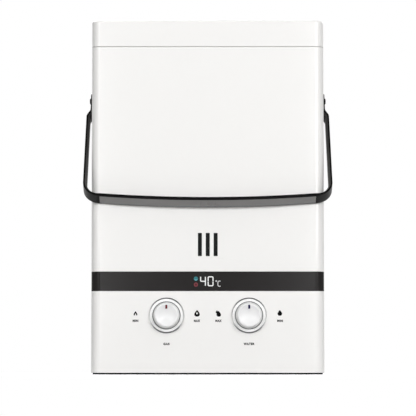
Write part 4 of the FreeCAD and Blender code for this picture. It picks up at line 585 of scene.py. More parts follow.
def lit(name, colour, strength):
    """A lamp film behind the strip: its colour shines through a fine grain."""
    finish, place = new_finish(name)
    grain = place.cloud(900, 1)
    return coated(finish, place, {
        "Base Color": grain.blend(screen(16, 16, 16), screen(24, 24, 24)),
        "Roughness": 0.3,
        "Specular IOR Level": 0.2,
        "Emission Color": grain.blend(tuple(c * 0.92 for c in colour[:3]) + (1,), colour),
        "Emission Strength": strength,
    })


DIGIT_LOW, DIGIT_HIGH, DIGIT_STROKE = 109.9, 122.35, 1.3
PRINT, ROOT = 0.06, 0.02


def stroke(points, width):
    """A flat line of that width through points, with mitred corners and square ends."""
    left, right = [], []
    for index, point in enumerate(points):
        here = Vector(point)
        ways = []
        if index:
            ways.append((here - Vector(points[index - 1])).normalized())
        if index < len(points) - 1:
            ways.append((Vector(points[index + 1]) - here).normalized())
        way = sum(ways, Vector((0, 0))).normalized()
        reach = width / 2 / max(0.4, way.dot(ways[0]))
        across = Vector((-way.y, way.x)) * reach
        left.append(tuple(here + across))
        right.append(tuple(here - across))
    return left + right[::-1]


def plate_on_front(outlines, proud=PRINT):
    """Thin flat pieces on the cabinet's front face."""
    return joined([bar(outline, FRONT - proud, FRONT + ROOT, "Y") for outline in outlines])


def digit_strokes(left, width, pieces):
    """The strokes of one figure in its cell, each given by points on a 0 to 1 grid."""
    low, high = DIGIT_LOW + DIGIT_STROKE / 2, DIGIT_HIGH - DIGIT_STROKE / 2
    outlines = []
    for piece in pieces:
        points = [(left + u * width, low + v * (high - low)) for u, v in piece]
        outlines.append(stroke(points, DIGIT_STROKE))
    return outlines


four = [[(0, 1), (0, 0.56), (0.12, 0.5), (0.9, 0.5)], [(1, 1), (1, 0)]]
nought = [
    [(0, 0.53), (0, 0.93), (0.12, 1), (0.88, 1), (1, 0.93), (1, 0.53)],
    [(0, 0.47), (0, 0.07), (0.12, 0), (0.88, 0), (1, 0.07), (1, 0.47)],
]
figures = digit_strokes(-8.9, 5.95, four) + digit_strokes(0.5, 6.05, nought)
fit("temperature_figures", plate_on_front(figures),
    lit("figure_white", screen(244, 244, 244), 1.0), "root", "display_parts")
UNIT_STROKE = 1.2
DEGREE_X, DEGREE_Z, DEGREE_OUTER, DEGREE_INNER = 10.6, 116.4, 1.1, 0.4
letter = [(15.9, 116.1), (14.7, 116.5), (13.5, 116.1), (12.8, 115.1), (12.6, 113.9),
          (12.6, 111.9), (12.9, 110.7), (13.6, 110.0), (14.8, 109.75), (16.0, 110.1)]
degree = cut(plate_on_front([disc_outline(DEGREE_X, DEGREE_Z, DEGREE_OUTER, 28)]),
             [pierced(disc_outline(DEGREE_X, DEGREE_Z, DEGREE_INNER, 20), FRONT, 1)])
fit("temperature_unit", joined([degree, plate_on_front([stroke(letter, UNIT_STROKE)])]),
    lit("unit_white", screen(206, 205, 207), 0.9), "root", "display_parts")

LAMP_X, LAMP_RADIUS, WATER_LAMP_Z, FLAME_LAMP_Z = -14.8, 2.6, 119.4, 112.0
GLOW_RADIUS, GLOW_WIDE, GLOW_TALL, GLOW_DROP = 2.3, 2.0, 0.5, 0.7
FLAME_RADIUS, FLAME_GAP = 1.3, 0.05
water_disc = disc_outline(LAMP_X, WATER_LAMP_Z, LAMP_RADIUS, 48)
fit("water_lamp", plate_on_front([water_disc]), lit("lamp_teal", screen(40, 128, 136), 0.85),
    "root", "display_parts")
crescent = [
    (LAMP_X + GLOW_RADIUS * math.cos(turn), WATER_LAMP_Z + GLOW_RADIUS * math.sin(turn))
    for turn in [math.radians(200 + 7 * step) for step in range(21)]
]
crescent += [
    (LAMP_X + GLOW_WIDE * math.cos(turn),
     WATER_LAMP_Z - GLOW_DROP + GLOW_TALL * math.sin(turn))
    for turn in [math.radians(-10 - 8 * step) for step in range(21)]
]
fit("water_lamp_glow", plate_on_front([crescent], PRINT * 1.6),
    lit("lamp_pale_teal", screen(110, 180, 192), 0.95), "root", "display_parts")
flame_ring = cut(
    plate_on_front([disc_outline(LAMP_X, FLAME_LAMP_Z, LAMP_RADIUS, 48)]),
    [pierced(disc_outline(LAMP_X, FLAME_LAMP_Z, FLAME_RADIUS + FLAME_GAP, 36), FRONT, 1)])
fit("flame_lamp_ring", flame_ring, lit("lamp_rose", screen(132, 50, 60), 0.85),
    "root", "display_parts")
fit("flame_lamp", plate_on_front([disc_outline(LAMP_X, FLAME_LAMP_Z, FLAME_RADIUS, 36)]),
    lit("lamp_red", screen(84, 8, 14), 0.9), "root", "display_parts")


# Printed marks: black pad printing on the cover, the words and signs beside the two
# controls. The ink stands a few hundredths of a millimetre proud.

ink, place = new_finish("printing_ink")
speck = place.cloud(3000, 1)
ink = coated(ink, place, {
    "Base Color": speck.blend(screen(5, 5, 5), screen(12, 11, 11)),
    "Roughness": 0.42 + speck * 0.15,
    "Specular IOR Level": 0.05,
    "Normal": relief(speck, 0.004, 0.6),
})
LETTER_BOLD, LETTER_SPREAD = 0.07, 1.2


def lettering(words, wide, tall, x, z):
    """A printed word of that width and height, centred on x with its foot at z."""
    curve = bpy.data.curves.new("word", "FONT")
    curve.body, curve.align_x, curve.space_character = words, "CENTER", LETTER_SPREAD
    curve.size, curve.extrude, curve.resolution_u = 1.0, 0.01, 3
    curve.offset = LETTER_BOLD
    item = bpy.data.objects.new("word", curve)
    bpy.context.scene.collection.objects.link(item)
    shape = settled(item)
    bpy.data.curves.remove(curve)
    xs = [v.co.x for v in shape.verts]
    ys = [v.co.y for v in shape.verts]
    middle, foot = (min(xs) + max(xs)) / 2, min(ys)
    across, up = wide / (max(xs) - min(xs)), tall / (max(ys) - min(ys))
    for vert in shape.verts:
        level = FRONT - PRINT if vert.co.z > 0 else FRONT + ROOT
        vert.co = (x + (vert.co.x - middle) * across, level, z + (vert.co.y - foot) * up)
    bmesh.ops.recalc_face_normals(shape, faces=shape.faces)
    return shape


def drop(x, z, wide, tall, lean=0.0):
    """A drop: round below, drawn out to a point above."""
    points, steps = [], 44
    for step in range(steps):
        turn = 2 * math.pi * step / steps
        up = math.cos(turn)
        across = math.sin(turn) * math.sin(turn / 2)
        points.append((x + wide / 1.54 * across + lean * (up + 1), z + tall / 2 * up))
    return points


MIN_X, MAX_X, MARK_Z = 90.2, 13.4, 76.1
WORD_TALL, WORD_Z, CONTROL_NAME_Z = 3.0, 65.3, 36.5
CHEVRON_STROKE = 1.6
chevron = [(-MIN_X + x, MARK_Z + z) for x, z in (
    (-1.7, -2.5), (-1.4, -0.9), (-0.7, 0.6), (0, 1.5), (0.7, 0.6), (1.4, -0.9), (1.7, -2.5))]
full_flame = cut(
    plate_on_front([drop(-MAX_X, MARK_Z, 6.8, 8.2)]),
    [pierced(drop(-MAX_X, MARK_Z + 0.2, 2.1, 2.6), FRONT, 1)])
marks = [
    plate_on_front([stroke(chevron, CHEVRON_STROKE)]),
    full_flame,
    plate_on_front([drop(MAX_X + 0.45, MARK_Z - 0.5, 5.6, 7.4, -0.25)]),
    plate_on_front([drop(MAX_X - 2.2, MARK_Z + 1.9, 2.9, 3.8, 0.2)], PRINT * 0.8),
    plate_on_front([drop(MIN_X - 0.3, MARK_Z + 0.5, 5.7, 7.2)]),
]
for words, wide, x, z in (
        ("MIN", 7.1, -MIN_X, WORD_Z), ("MAX", 7.9, -MAX_X, WORD_Z),
        ("MAX", 7.9, MAX_X, WORD_Z), ("MIN", 7.1, MIN_X, WORD_Z),
        ("GAS", 7.9, -KNOB_X, CONTROL_NAME_Z), ("WATER", 13.6, KNOB_X, CONTROL_NAME_Z)):
    marks.append(lettering(words, wide, WORD_TALL, x, z))
fit("printed_marks", joined(marks), ink, "root", "white_shell")


# Controls: two knobs moulded in white ABS, pushed on the valve spindles. A ring with a white
# face and plated edges is snapped into the cover round each. A coloured pointer is inlaid in
# the knob's dished face.

def turned(profile, steps=128):
    """Turn a profile of (radius, height) points about the Z axis."""
    rings = []
    for step in range(steps):
        turn = 2 * math.pi * step / steps
        rings.append([(r * math.cos(turn), r * math.sin(turn), h) for r, h in profile])
    return loft(rings, joined=True)


def stand(shape, x, y, z, axis="X", angle=90):
    """Turn a shape about an axis and carry it to its place."""
    place = Matrix.Translation((x, y, z)) @ Matrix.Rotation(math.radians(angle), 4, axis)
    bmesh.ops.transform(shape, matrix=place, verts=shape.verts)
    return shape


KNOB_FOOT, KNOB_FACE, KNOB_REACH = 16.5, 14.0, 15.0
knob_profile = rounded([
    (3.0, 0.8), (KNOB_FOOT - 0.6, 0.8, 0.3), (KNOB_FOOT, 1.2, 0.2), (KNOB_FOOT, 5.0, 1.5),
    (KNOB_FACE + 0.4, KNOB_REACH - 0.6, 0.9), (KNOB_FACE - 1.0, KNOB_REACH - 0.05, 0.5),
], 6)
DISH_RADIUS, DISH_DEEP, DISH_STEPS = KNOB_FACE - 1.3, 3.0, 14
knob_profile += [
    (DISH_RADIUS * (1 - k / DISH_STEPS),
     KNOB_REACH - 0.12 - DISH_DEEP * (1 - (1 - k / DISH_STEPS) ** 2))
    for k in range(DISH_STEPS + 1)
]
knob_profile += [(0, 7.5), (3.0, 7.5)]
ring_profile = rounded([
    (17.9, -3.0), (19.3, -3.0), (19.3, 0.0), (22.2, 0.0), (22.2, 1.4, 0.5),
    (20.6, 3.7, 0.4), (19.8, 3.8, 0.4), (17.3, 3.5, 0.3), (17.3, 0.6), (17.9, 0.0),
], 5)
ring_plate, place = new_finish("ring_pearl")
polish = place.cloud(420, 2)
ring_plate = coated(ring_plate, place, {
    "Base Color": polish.blend(screen(236, 236, 236), screen(248, 248, 248)),
    "Roughness": 0.2 + polish * 0.1,
    "Coat Weight": 0.6,
    "Coat Roughness": 0.08,
    "Normal": relief(polish, 0.004, 0.5),
})
knob_white = moulded("knob_white", screen(244, 244, 244), 0.3, depth=0.004, drift=0.006)
POINTER_Z, POINTER_DEEP, POINTER_SUNK = 10.5, 2.2, 0.9
POINTER_HALF, POINTER_LONG, POINTER_GAP = 1.25, 5.0, 0.03


def pointer_finish(name, colour):
    """The coloured plastic of a pointer."""
    return moulded(name, colour, 0.4, depth=0.004, drift=0.1, specular=0.2)


def metal(name, colour, gloss, brush=None, tarnish=0.1):
    """A bare metal: brushed or cast, with a gloss and colour that drift."""
    finish, place = new_finish(name)
    patch = place.cloud(30, 4, 0.6)
    lines = place.cloud(300, 3, 0.6, brush or (1, 1, 1))
    dark = tuple(part * (1 - tarnish) for part in colour[:3]) + (1.0,)
    return coated(finish, place, {
        "Base Color": patch.blend(dark, colour),
        "Metallic": 1.0,
        "Roughness": gloss + (patch - 0.5) * 0.12 + (lines - 0.5) * 0.12,
        "Normal": relief(lines, 0.01, 0.5),
    })


# The plated edge is painted darker above and below the axis and pale at the sides: a painted
# reflection. The bore is painted darker still: painted shade in the gap round the knob.
ring_chrome, place = new_finish("ring_chrome")
lines = place.cloud(500, 3)
across = abs(place.part(0)) - KNOB_X * MM
upward = place.part(2) - KNOB_Z * MM
spoke = place.sum("SQRT", across * across + upward * upward)
painted_edge_reflection = (abs(upward) / spoke).fade(0.3, 0.85)
painted_bore_shade = 1 - spoke.fade(18.4 * MM, 19.0 * MM)
ring_chrome = coated(ring_chrome, place, {
    "Base Color": painted_bore_shade.blend(
        painted_edge_reflection.blend(screen(214, 214, 214), screen(112, 112, 114)), screen(84, 84, 86)),
    "Metallic": 1.0,
    "Roughness": 0.28 + lines * 0.12,
    "Normal": relief(lines, 0.004, 0.4),
})


def off_axis(face):
    """How far a face of a ring lies from its control's axis, in millimetres."""
    return math.hypot(abs(face.center.x) - KNOB_X * MM, face.center.z - KNOB_Z * MM) / MM


def pointer_bar(gap, top):
    """The pointer, or with no gap its seat, up to a level above the cover."""
    half, reach = POINTER_HALF - gap, POINTER_LONG / 2 - gap
    outline = oblong(-half, half, POINTER_Z - reach, POINTER_Z + reach, 0.3)
    return bar(rounded(outline, 3), KNOB_REACH - POINTER_DEEP, top)


def repaint(piece, finish, wanted):
    """Give one more finish to the faces that a test picks out."""
    piece.data.materials.append(finish)
    for face in piece.data.polygons:
        if wanted(face):
            face.material_index = len(piece.data.materials) - 1


ring_white = moulded("ring_white", screen(254, 254, 253), 0.3, depth=0.005, drift=0.03)
# A dark grey for the ring's inner wall: painted shade for the gap round the knob.
painted_gap_shade = moulded("painted_gap_shade", screen(52, 52, 52), 0.5, depth=0.01, drift=0.1, specular=0.1)
GAP_SHADE_END, RING_FACE_START, RING_FACE_END = 17.45, 17.5, 20.6
for side, name, colour, paint in (
        (-1, "gas", "red", pointer_finish("pointer_red", screen(104, 6, 26))),
        (1, "water", "blue", pointer_finish("pointer_blue", screen(10, 12, 66)))):
    where = (side * KNOB_X, FRONT, KNOB_Z)
    ring = fit(f"{name}_ring", stand(turned(ring_profile), *where), ring_plate,
               "root", "bezel", f"{name}_bezel")
    repaint(ring, ring_chrome, lambda face: not (
        RING_FACE_START < off_axis(face) < RING_FACE_END))
    repaint(ring, ring_white, lambda face: (
        face.normal.y < -0.8 and RING_FACE_START < off_axis(face) < RING_FACE_END))
    # The inner wall takes the painted shade of the gap.
    repaint(ring, painted_gap_shade, lambda face: off_axis(face) < GAP_SHADE_END)
    knob_shape = cut(turned(knob_profile), [pointer_bar(0.0, KNOB_REACH + 2)])
    fit(f"{name}_knob_turned", stand(knob_shape, *where), knob_white,
        f"{name}_control", "knob_white", f"{name}_knob")
    pointer = pointer_bar(POINTER_GAP, KNOB_REACH - POINTER_SUNK)
    fit(f"{name}_pointer_inlay", stand(cut(pointer, [], ease=0.12), *where), paint,
        f"{name}_control", f"pointer_{colour}", f"{name}_pointer")


# Handle: a bail of flat glass-filled nylon strap that turns on two shoulder screws. Joggles
# carry its arms clear of the cabinet, its front inner edge has a broad bevel, and a soft grey
# grip strip is let into the outer side of its bowed bar.

STRAP_WIDE, STRAP_THICK, STRAP_EDGE, BAR_EDGE = 17.0, 4.6, 0.5, 1.35
ARM_BEVEL_IN, ARM_BEVEL_ALONG = 2.3, 3.4
BAR_BEVEL_IN, BAR_BEVEL_ALONG = 1.15, 3.0
TAB_THICK, TAB_END, TAB_RADIUS = 4.0, 10.0, 8.5
TAB_IN = HALF_WIDTH + 0.3
TAB_OUT = TAB_IN + TAB_THICK
JOGGLE_START, JOGGLE_END, JOGGLE_STEP = 20.0, 28.5, 4.85
JOGGLE_BEND = 8.0
JOGGLE_LAG = STRAP_THICK * math.tan(math.atan(JOGGLE_STEP / (JOGGLE_END - JOGGLE_START)) / 2)
ARM_TOP_X = TAB_OUT + JOGGLE_STEP
ARM_LOW_X = ARM_TOP_X + 0.9
REACH, TURN_RADIUS, BOW = 163.1, 21.0, 6.0
GRIP_HALF = ARM_LOW_X - TURN_RADIUS
BOW_RADIUS = (GRIP_HALF ** 2 + BOW ** 2) / (2 * BOW)
INNER_REACH = REACH - STRAP_THICK
BAR_END_Z = -(REACH - BOW)
TOUCH_DEPTH, REST_GAP = 74.3, 0.3
touch_x = HALF_WIDTH - CORNER
touch_reach = INNER_REACH - BOW_RADIUS + math.sqrt(BOW_RADIUS ** 2 - touch_x ** 2)
touch_radius = math.hypot(touch_reach, STRAP_WIDE / 2)
REST_ANGLE = math.degrees(math.asin((TOUCH_DEPTH + REST_GAP) / touch_radius)
                          + math.atan(STRAP_WIDE / 2 / touch_reach))


def walked(points, steps):
    """Points at even distances along a line of points."""
    lengths = [0.0]
    for a, b in zip(points, points[1:]):
        lengths.append(lengths[-1] + math.dist(a, b))
    spread, at = [], 0
    for step in range(steps + 1):
        target = lengths[-1] * step / steps
        while at < len(points) - 2 and lengths[at + 1] < target:
            at += 1
        share = (target - lengths[at]) / max(lengths[at + 1] - lengths[at], 1e-9)
        a, b = points[at], points[at + 1]
        spread.append((a[0] + (b[0] - a[0]) * share, a[1] + (b[1] - a[1]) * share))
    return spread


def bar_level(x):
    """The level of the bar's outer side, x from its middle."""
    return -(REACH - BOW_RADIUS + math.sqrt(BOW_RADIUS ** 2 - x ** 2))


def strap_side(inwards):
    """One side of the strap seen edge-on, from the right end down to the bar's middle."""
    thick = STRAP_THICK if inwards else 0.0
    tab = TAB_IN if inwards else TAB_OUT
    lag = JOGGLE_LAG if inwards else 0.0
    joggle = rounded([
        (tab, -6.0), (tab, -JOGGLE_START - lag, JOGGLE_BEND),
        (ARM_TOP_X - thick, -JOGGLE_END - lag, JOGGLE_BEND), (ARM_TOP_X - thick + 0.1, -42.0),
    ], 10)
    corner = TURN_RADIUS - thick
    arm_end = (ARM_LOW_X - thick, BAR_END_Z + TURN_RADIUS)
    turn = [
        (GRIP_HALF + corner * math.cos(math.radians(a)),
         arm_end[1] + corner * math.sin(math.radians(a)))
        for a in [-90 * k / 28 for k in range(29)]
    ]
    bow = [(x, bar_level(x) + thick) for x in [GRIP_HALF * (1 - k / 44) for k in range(45)]]
    tab_levels = [
        TAB_END - TAB_RADIUS * (1 - math.cos(math.pi / 2 * k / 16)) for k in range(17)]
    line = [(tab, z) for z in tab_levels]
    line += walked([(tab, 1.5), (tab, -6.0)], 4)[1:]
    line += walked(joggle, 36)[1:]
    line += walked([joggle[-1], arm_end], 14)[1:]
    line += turn[1:] + bow[1:]
    return line


def strap_section(outer, inner, half, bevel, along, edge):
    """The strap's section, with a broad bevel on the edge that is inside and in front.

    The bevel is given by its reach into the strap's thickness and along its width, and the
    rounding of the edge that is outside and in front is given apart.
    """
    middle = ((outer[0] + inner[0]) / 2, (outer[1] + inner[1]) / 2)
    thick = math.dist(outer, inner)
    way = ((outer[0] - inner[0]) / thick, (outer[1] - inner[1]) / thick)
    ease = min(STRAP_EDGE, thick * 0.2, half * 0.3)
    bevel, along = max(bevel, ease), min(max(along, ease), half * 0.5)
    corners = [
        (thick / 2, -half, ease * edge / STRAP_EDGE), (thick / 2, half, ease),
        (-thick / 2, half, ease * 0.8), (-thick / 2, along - half, ease * 0.4),
        (-thick / 2 + bevel, -half, ease * 0.4),
    ]
    return [(middle[0] + way[0] * u, v, middle[1] + way[1] * u) for u, v in rounded(corners, 4)]


outer_line, inner_line = strap_side(False), strap_side(True)
sections = []
for outer, inner in zip(outer_line, inner_line):
    above = max(0.0, outer[1] - (TAB_END - TAB_RADIUS))
    half = math.sqrt(max(0.0, TAB_RADIUS ** 2 - above ** 2)) if above else STRAP_WIDE / 2
    below_joggle = min(1.0, max(0.0, (-JOGGLE_START - outer[1]) / 8.0))
    before_bar = min(1.0, max(0.0, (outer[0] - GRIP_HALF) / (0.8 * TURN_RADIUS)))
    bevel = BAR_BEVEL_IN + (ARM_BEVEL_IN - BAR_BEVEL_IN) * before_bar
    along = BAR_BEVEL_ALONG + (ARM_BEVEL_ALONG - BAR_BEVEL_ALONG) * before_bar
    sections.append(strap_section(
        outer, inner, max(half, 0.12), bevel * below_joggle, along * below_joggle,
        STRAP_EDGE + (BAR_EDGE - STRAP_EDGE) * (1.0 - before_bar) * below_joggle))
sections += [[(-x, y, z) for x, y, z in ring] for ring in sections[-2::-1]]
strap_shape = loft(sections)


def grip_line(over, deep, end):
    """The grip strip seen edge-on, from over the bar's outer side to deep in it."""
    xs = [end * (2 * k / 60 - 1) for k in range(61)]
    return ([(x, bar_level(x) - over) for x in xs]
            + [(x, bar_level(x) + deep) for x in xs[::-1]])


GRIP_THICK, GRIP_FRONT, GRIP_BACK, GRIP_GAP = 1.2, -6.2, 7.8, 0.1
NOTCH_SPACING, NOTCH_HALF, NOTCH_DEEP = 9.2, 1.25, 0.9
seat = bar(grip_line(2.0, GRIP_THICK, GRIP_HALF),
           GRIP_FRONT - GRIP_GAP, GRIP_BACK + GRIP_GAP, "Y")
bore = bar(disc_outline(0, 0, PIVOT_HOLE, 40), -170, 170, "X")
grip_shape = bar(grip_line(0.0, GRIP_THICK - 0.01, GRIP_HALF - 0.15),
                 GRIP_FRONT, GRIP_BACK, "Y")
notch_cuts = [
    bar(rounded(oblong(x - NOTCH_HALF, x + NOTCH_HALF, -4.0, 4.0, 0.6), 4),
        -REACH - 2, -REACH + NOTCH_DEEP)
    for x in (-NOTCH_SPACING, 0.0, NOTCH_SPACING)
]


def swung(shape):
    """Carry a shape drawn hanging from the pivots to the handle's rest."""
    return stand(shape, 0, PIVOT_Y, PIVOT_Z, "X", -REST_ANGLE)


handle_black = moulded("handle_black", screen(8, 8, 8), 0.34, grain=2200, depth=0.02,
                       drift=0.12, specular=0.1)
strap = fit("handle_strap", swung(cut(strap_shape, [seat, bore])), handle_black,
            "handle", "handle_black", "handle")
# The arms' inner bevel faces are painted a lighter grey than the black strap: a painted
# reflection of the white cabinet beside them.
painted_bevel_light = moulded("handle_bevel_painted_light", screen(66, 65, 64), 0.45, grain=2200, depth=0.02,
                     drift=0.06, specular=0.2)
BEVEL_LEAST, BEVEL_MOST = 0.3, 0.93
repaint(strap, painted_bevel_light, lambda face: (
    face.normal.x * face.center.x < 0 and BEVEL_LEAST < abs(face.normal.x) < BEVEL_MOST
    and face.normal.y < -BEVEL_LEAST and abs(face.center.x) > GRIP_HALF * MM))
grip_grey, place = new_finish("grip_grey")
pebble = place.add("TexVoronoi", {"feature": "F1"}, {"Vector": place, "Scale": 1500.0})
wipe = place.cloud(60, 3)
grip_grey = coated(grip_grey, place, {
    "Base Color": (pebble * 0.7 + wipe * 0.3).blend(
        screen(137, 136, 135), screen(150, 149, 148)),
    "Roughness": 0.62 + wipe * 0.12,
    "Specular IOR Level": 0.3,
    "Sheen Weight": 0.15,
    "Normal": place.add("Bump", {"invert": True}, {
        "Strength": 1.0, "Distance": 0.05 * MM, "Height": pebble}),
})
fit("handle_grip_strip", swung(cut(grip_shape, notch_cuts, ease=0.25)), grip_grey,
    "handle", "grip_grey", "handle_grip")


# Flue grille: a pressed stainless frame with a wall turned down inside its rim, and seven
# sloping louvre blades welded between its ends. It drops into the seat of the top cover. The
# hot gases have tinted the blades straw and blue.

class Recipe:
    """A Geometry Nodes tree with named inputs, built step by step and grown into a shape."""

    def __init__(self, name, **given):
        self.tree = bpy.data.node_groups.new(name, "GeometryNodeTree")
        face = self.tree.interface
        face.new_socket("Geometry", in_out="INPUT", socket_type="NodeSocketGeometry")
        face.new_socket("Geometry", in_out="OUTPUT", socket_type="NodeSocketGeometry")
        self.values = {}
        for label, (kind, value) in given.items():
            socket = face.new_socket(label, in_out="INPUT", socket_type=f"NodeSocket{kind}")
            self.values[socket.identifier] = value
        self.given = self.tree.nodes.new("NodeGroupInput").outputs

    def step(self, kind, settings=None, sources=None, end=0):
        """Add a node of any kind, with its settings and what its sockets take."""
        node = self.tree.nodes.new(kind)
        for name, setting in (settings or {}).items():
            setattr(node, name, setting)
        for name, source in (sources or {}).items():
            if isinstance(source, bpy.types.NodeSocket):
                self.tree.links.new(source, node.inputs[name])
            else:
                node.inputs[name].default_value = source
        return node.outputs[end]

    def grow(self, last, places=()):
        """Realize what the last step gives, paint it and hand it over as a shape."""
        solid = self.step("GeometryNodeRealizeInstances", {}, {"Geometry": last})
        painted = self.step("GeometryNodeSetMaterial", {}, {
            "Geometry": solid, "Material": self.given["finish"]})
        outlet = self.tree.nodes.new("NodeGroupOutput")
        self.tree.links.new(painted, outlet.inputs["Geometry"])
        mesh = bpy.data.meshes.new("places")
        mesh.from_pydata(list(places), [], [])
        item = bpy.data.objects.new("places", mesh)
        bpy.context.scene.collection.objects.link(item)
        modifier = item.modifiers.new("recipe", "NODES")
        modifier.node_group = self.tree
        for key, value in self.values.items():
            modifier[key] = value
        shape = settled(item)
        bmesh.ops.remove_doubles(shape, verts=shape.verts, dist=1e-4)
        bmesh.ops.recalc_face_normals(shape, faces=shape.faces)
        return shape


flue_steel, place = new_finish("flue_steel")
heat = place.cloud(26, 3, 0.6)
draw_lines = place.cloud(240, 3, 0.6, (1, 16, 16))
tint = ((1 - abs(place.part(0)) * 11) * 0.8).larger(0.0)
warm = (heat * 1.3 - 0.25).blend(screen(176, 172, 166), screen(188, 166, 128))
blued = (heat * 2.2 - 0.9).blend(warm, screen(126, 128, 150))
flue_steel = coated(flue_steel, place, {
    "Base Color": tint.blend(screen(184, 183, 181), blued),
    "Metallic": 1.0,
    "Roughness": 0.3 + heat * 0.12 + draw_lines * 0.1,
    "Normal": relief(draw_lines, 0.012, 0.6),
})
SKIRT_INSET, SKIRT_WALL, SKIRT_DROP = 6.2, 1.2, 11.0
LOUVRE_COUNT, LOUVRE_SPACING, LOUVRE_SLOPE, LOUVRE_BLADE = 7, 9.45, 38.0, 1.2
LOUVRE_HIGH, LOUVRE_LOW = TOP - 0.8, TOP - SKIRT_DROP
LOUVRE_MARGIN, LOUVRE_SHORT, LOUVRE_SUNK = 9.66, 1, 0.4
THROAT = SKIRT_INSET + SKIRT_WALL
blade_run = (LOUVRE_HIGH - LOUVRE_LOW) * math.tan(math.radians(LOUVRE_SLOPE))
first_blade = GRILLE_FRONT + LOUVRE_MARGIN + blade_run / 2
blade_wide = (LOUVRE_HIGH - LOUVRE_LOW) / math.cos(math.radians(LOUVRE_SLOPE)) - LOUVRE_SHORT
frame_shape = loft([
    opening_ring(0.0, TOP - GRILLE_PLATE), opening_ring(0.0, TOP - 0.35),
    opening_ring(0.1, TOP - 0.1), opening_ring(0.35, TOP),
    opening_ring(THROAT - 0.8, TOP), opening_ring(THROAT - 0.25, TOP - 0.25),
    opening_ring(THROAT, TOP - 0.8), opening_ring(THROAT, TOP - SKIRT_DROP),
    opening_ring(SKIRT_INSET, TOP - SKIRT_DROP), opening_ring(SKIRT_INSET, TOP - GRILLE_PLATE),
], joined=True)


def row_of_bars(plan, section):
    """Bars with that section, between two ends, in a row that the recipe's inputs lay out."""
    one_bar = plan.step("GeometryNodeCurveToMesh", {}, {
        "Curve": plan.step("GeometryNodeCurvePrimitiveLine", {}, {
            "Start": plan.given["left_end"], "End": plan.given["right_end"]}),
        "Profile Curve": section, "Fill Caps": True})
    return plan.grow(plan.step("GeometryNodeInstanceOnPoints", {}, {
        "Points": plan.step("GeometryNodeMeshLine", {"mode": "OFFSET"}, {
            "Count": plan.given["count"],
            "Start Location": plan.given["first"], "Offset": plan.given["spacing"]}),
        "Instance": one_bar, "Rotation": plan.given["slope"]}))


blades = Recipe(
    "flue_louvres", count=("Int", LOUVRE_COUNT),
    first=("Vector", (0.0, first_blade, (LOUVRE_HIGH + LOUVRE_LOW) / 2)),
    spacing=("Vector", (0.0, LOUVRE_SPACING, 0.0)),
    left_end=("Vector", (-GRILLE_X + THROAT - LOUVRE_SUNK, 0.0, 0.0)),
    right_end=("Vector", (GRILLE_X - THROAT + LOUVRE_SUNK, 0.0, 0.0)),
    slope=("Vector", (math.radians(90 + LOUVRE_SLOPE), 0.0, 0.0)),
    blade_thickness=("Float", LOUVRE_BLADE), blade_width=("Float", blade_wide),
    edge_radius=("Float", 0.5), finish=("Material", flue_steel))
louvres = row_of_bars(blades, blades.step("GeometryNodeFilletCurve", {"mode": "POLY"}, {
    "Curve": blades.step("GeometryNodeCurvePrimitiveQuadrilateral", {}, {
        "Width": blades.given["blade_width"], "Height": blades.given["blade_thickness"]}),
    "Count": 4, "Radius": blades.given["edge_radius"]}))
fit("flue_grille_pressing", joined([frame_shape, louvres]), flue_steel,
    "root", "steel", "flue_grille")


# Back screws: six zinc-plated pan-head screws with a cross recess. They hold the back shell to
# the top cover's lip and to the floor's flange, and each has stopped at its own angle.

screw_zinc = metal("screw_zinc", screen(178, 180, 182), 0.3)
SCREW_HEAD, SCREW_SHANK, SCREW_TALL, SCREW_LONG = 3.6, 1.9, 2.2, 9.0
CROSS_THIN, CROSS_LONG, CROSS_DEEP = 0.42, 1.75, 1.3
SCREW_X, SCREW_LOW, SCREW_HIGH = 108.0, 12.0, 406.7
screw_shape = cut(
    turned(rounded([
        (0, -SCREW_LONG), (SCREW_SHANK - 0.8, -SCREW_LONG), (SCREW_SHANK, 1.2 - SCREW_LONG),
        (SCREW_SHANK, 0), (SCREW_HEAD, 0, 0.15), (SCREW_HEAD, 1.1, 0.9),
        (1.9, SCREW_TALL, 1.4), (0, SCREW_TALL),
    ], 5), 32),
    [bar(oblong(-wide, wide, -tall, tall), SCREW_TALL - CROSS_DEEP, SCREW_TALL + 1)
     for wide, tall in ((CROSS_THIN, CROSS_LONG), (CROSS_LONG, CROSS_THIN))],
    ease=0.08)


def planted(name, shape, places, finish, least=(0, 0, 0), most=(0, 0, 0), seed=1):
    """Copies of a shape on the places given, each turned by its own share between two turns."""
    pattern = loose(shape, f"{name}_pattern")
    plan = Recipe(
        name, pattern=("Object", pattern), least_turn=("Vector", least),
        most_turn=("Vector", most), turn_seed=("Int", seed), finish=("Material", finish))
    turns = plan.step("FunctionNodeRandomValue", {"data_type": "FLOAT_VECTOR"}, {
        0: plan.given["least_turn"], 1: plan.given["most_turn"],
        "Seed": plan.given["turn_seed"]})
    copies = plan.grow(plan.step("GeometryNodeInstanceOnPoints", {}, {
        "Points": plan.given["Geometry"], "Rotation": turns,
        "Instance": plan.step("GeometryNodeObjectInfo", {}, {
            "Object": plan.given["pattern"]}, end=4)}), places)
    bpy.data.objects.remove(pattern)
    return copies


BACKWARDS = -math.pi / 2
fit("back_screw_set", planted(
    "back_screws", screw_shape,
    [(x, BACK, z) for z in (SCREW_HIGH, SCREW_LOW) for x in (-SCREW_X, 0.0, SCREW_X)],
    screw_zinc,
    (BACKWARDS, 0.0, 0.0), (BACKWARDS, math.pi, 0.0), seed=7),
    screw_zinc, "root", "steel", "back_screws")


# Pivot screws: two black shoulder screws with a hexagon socket. They go through the handle's
# ends and the cabinet's sides into tapped plates, and the handle turns on their shoulders.

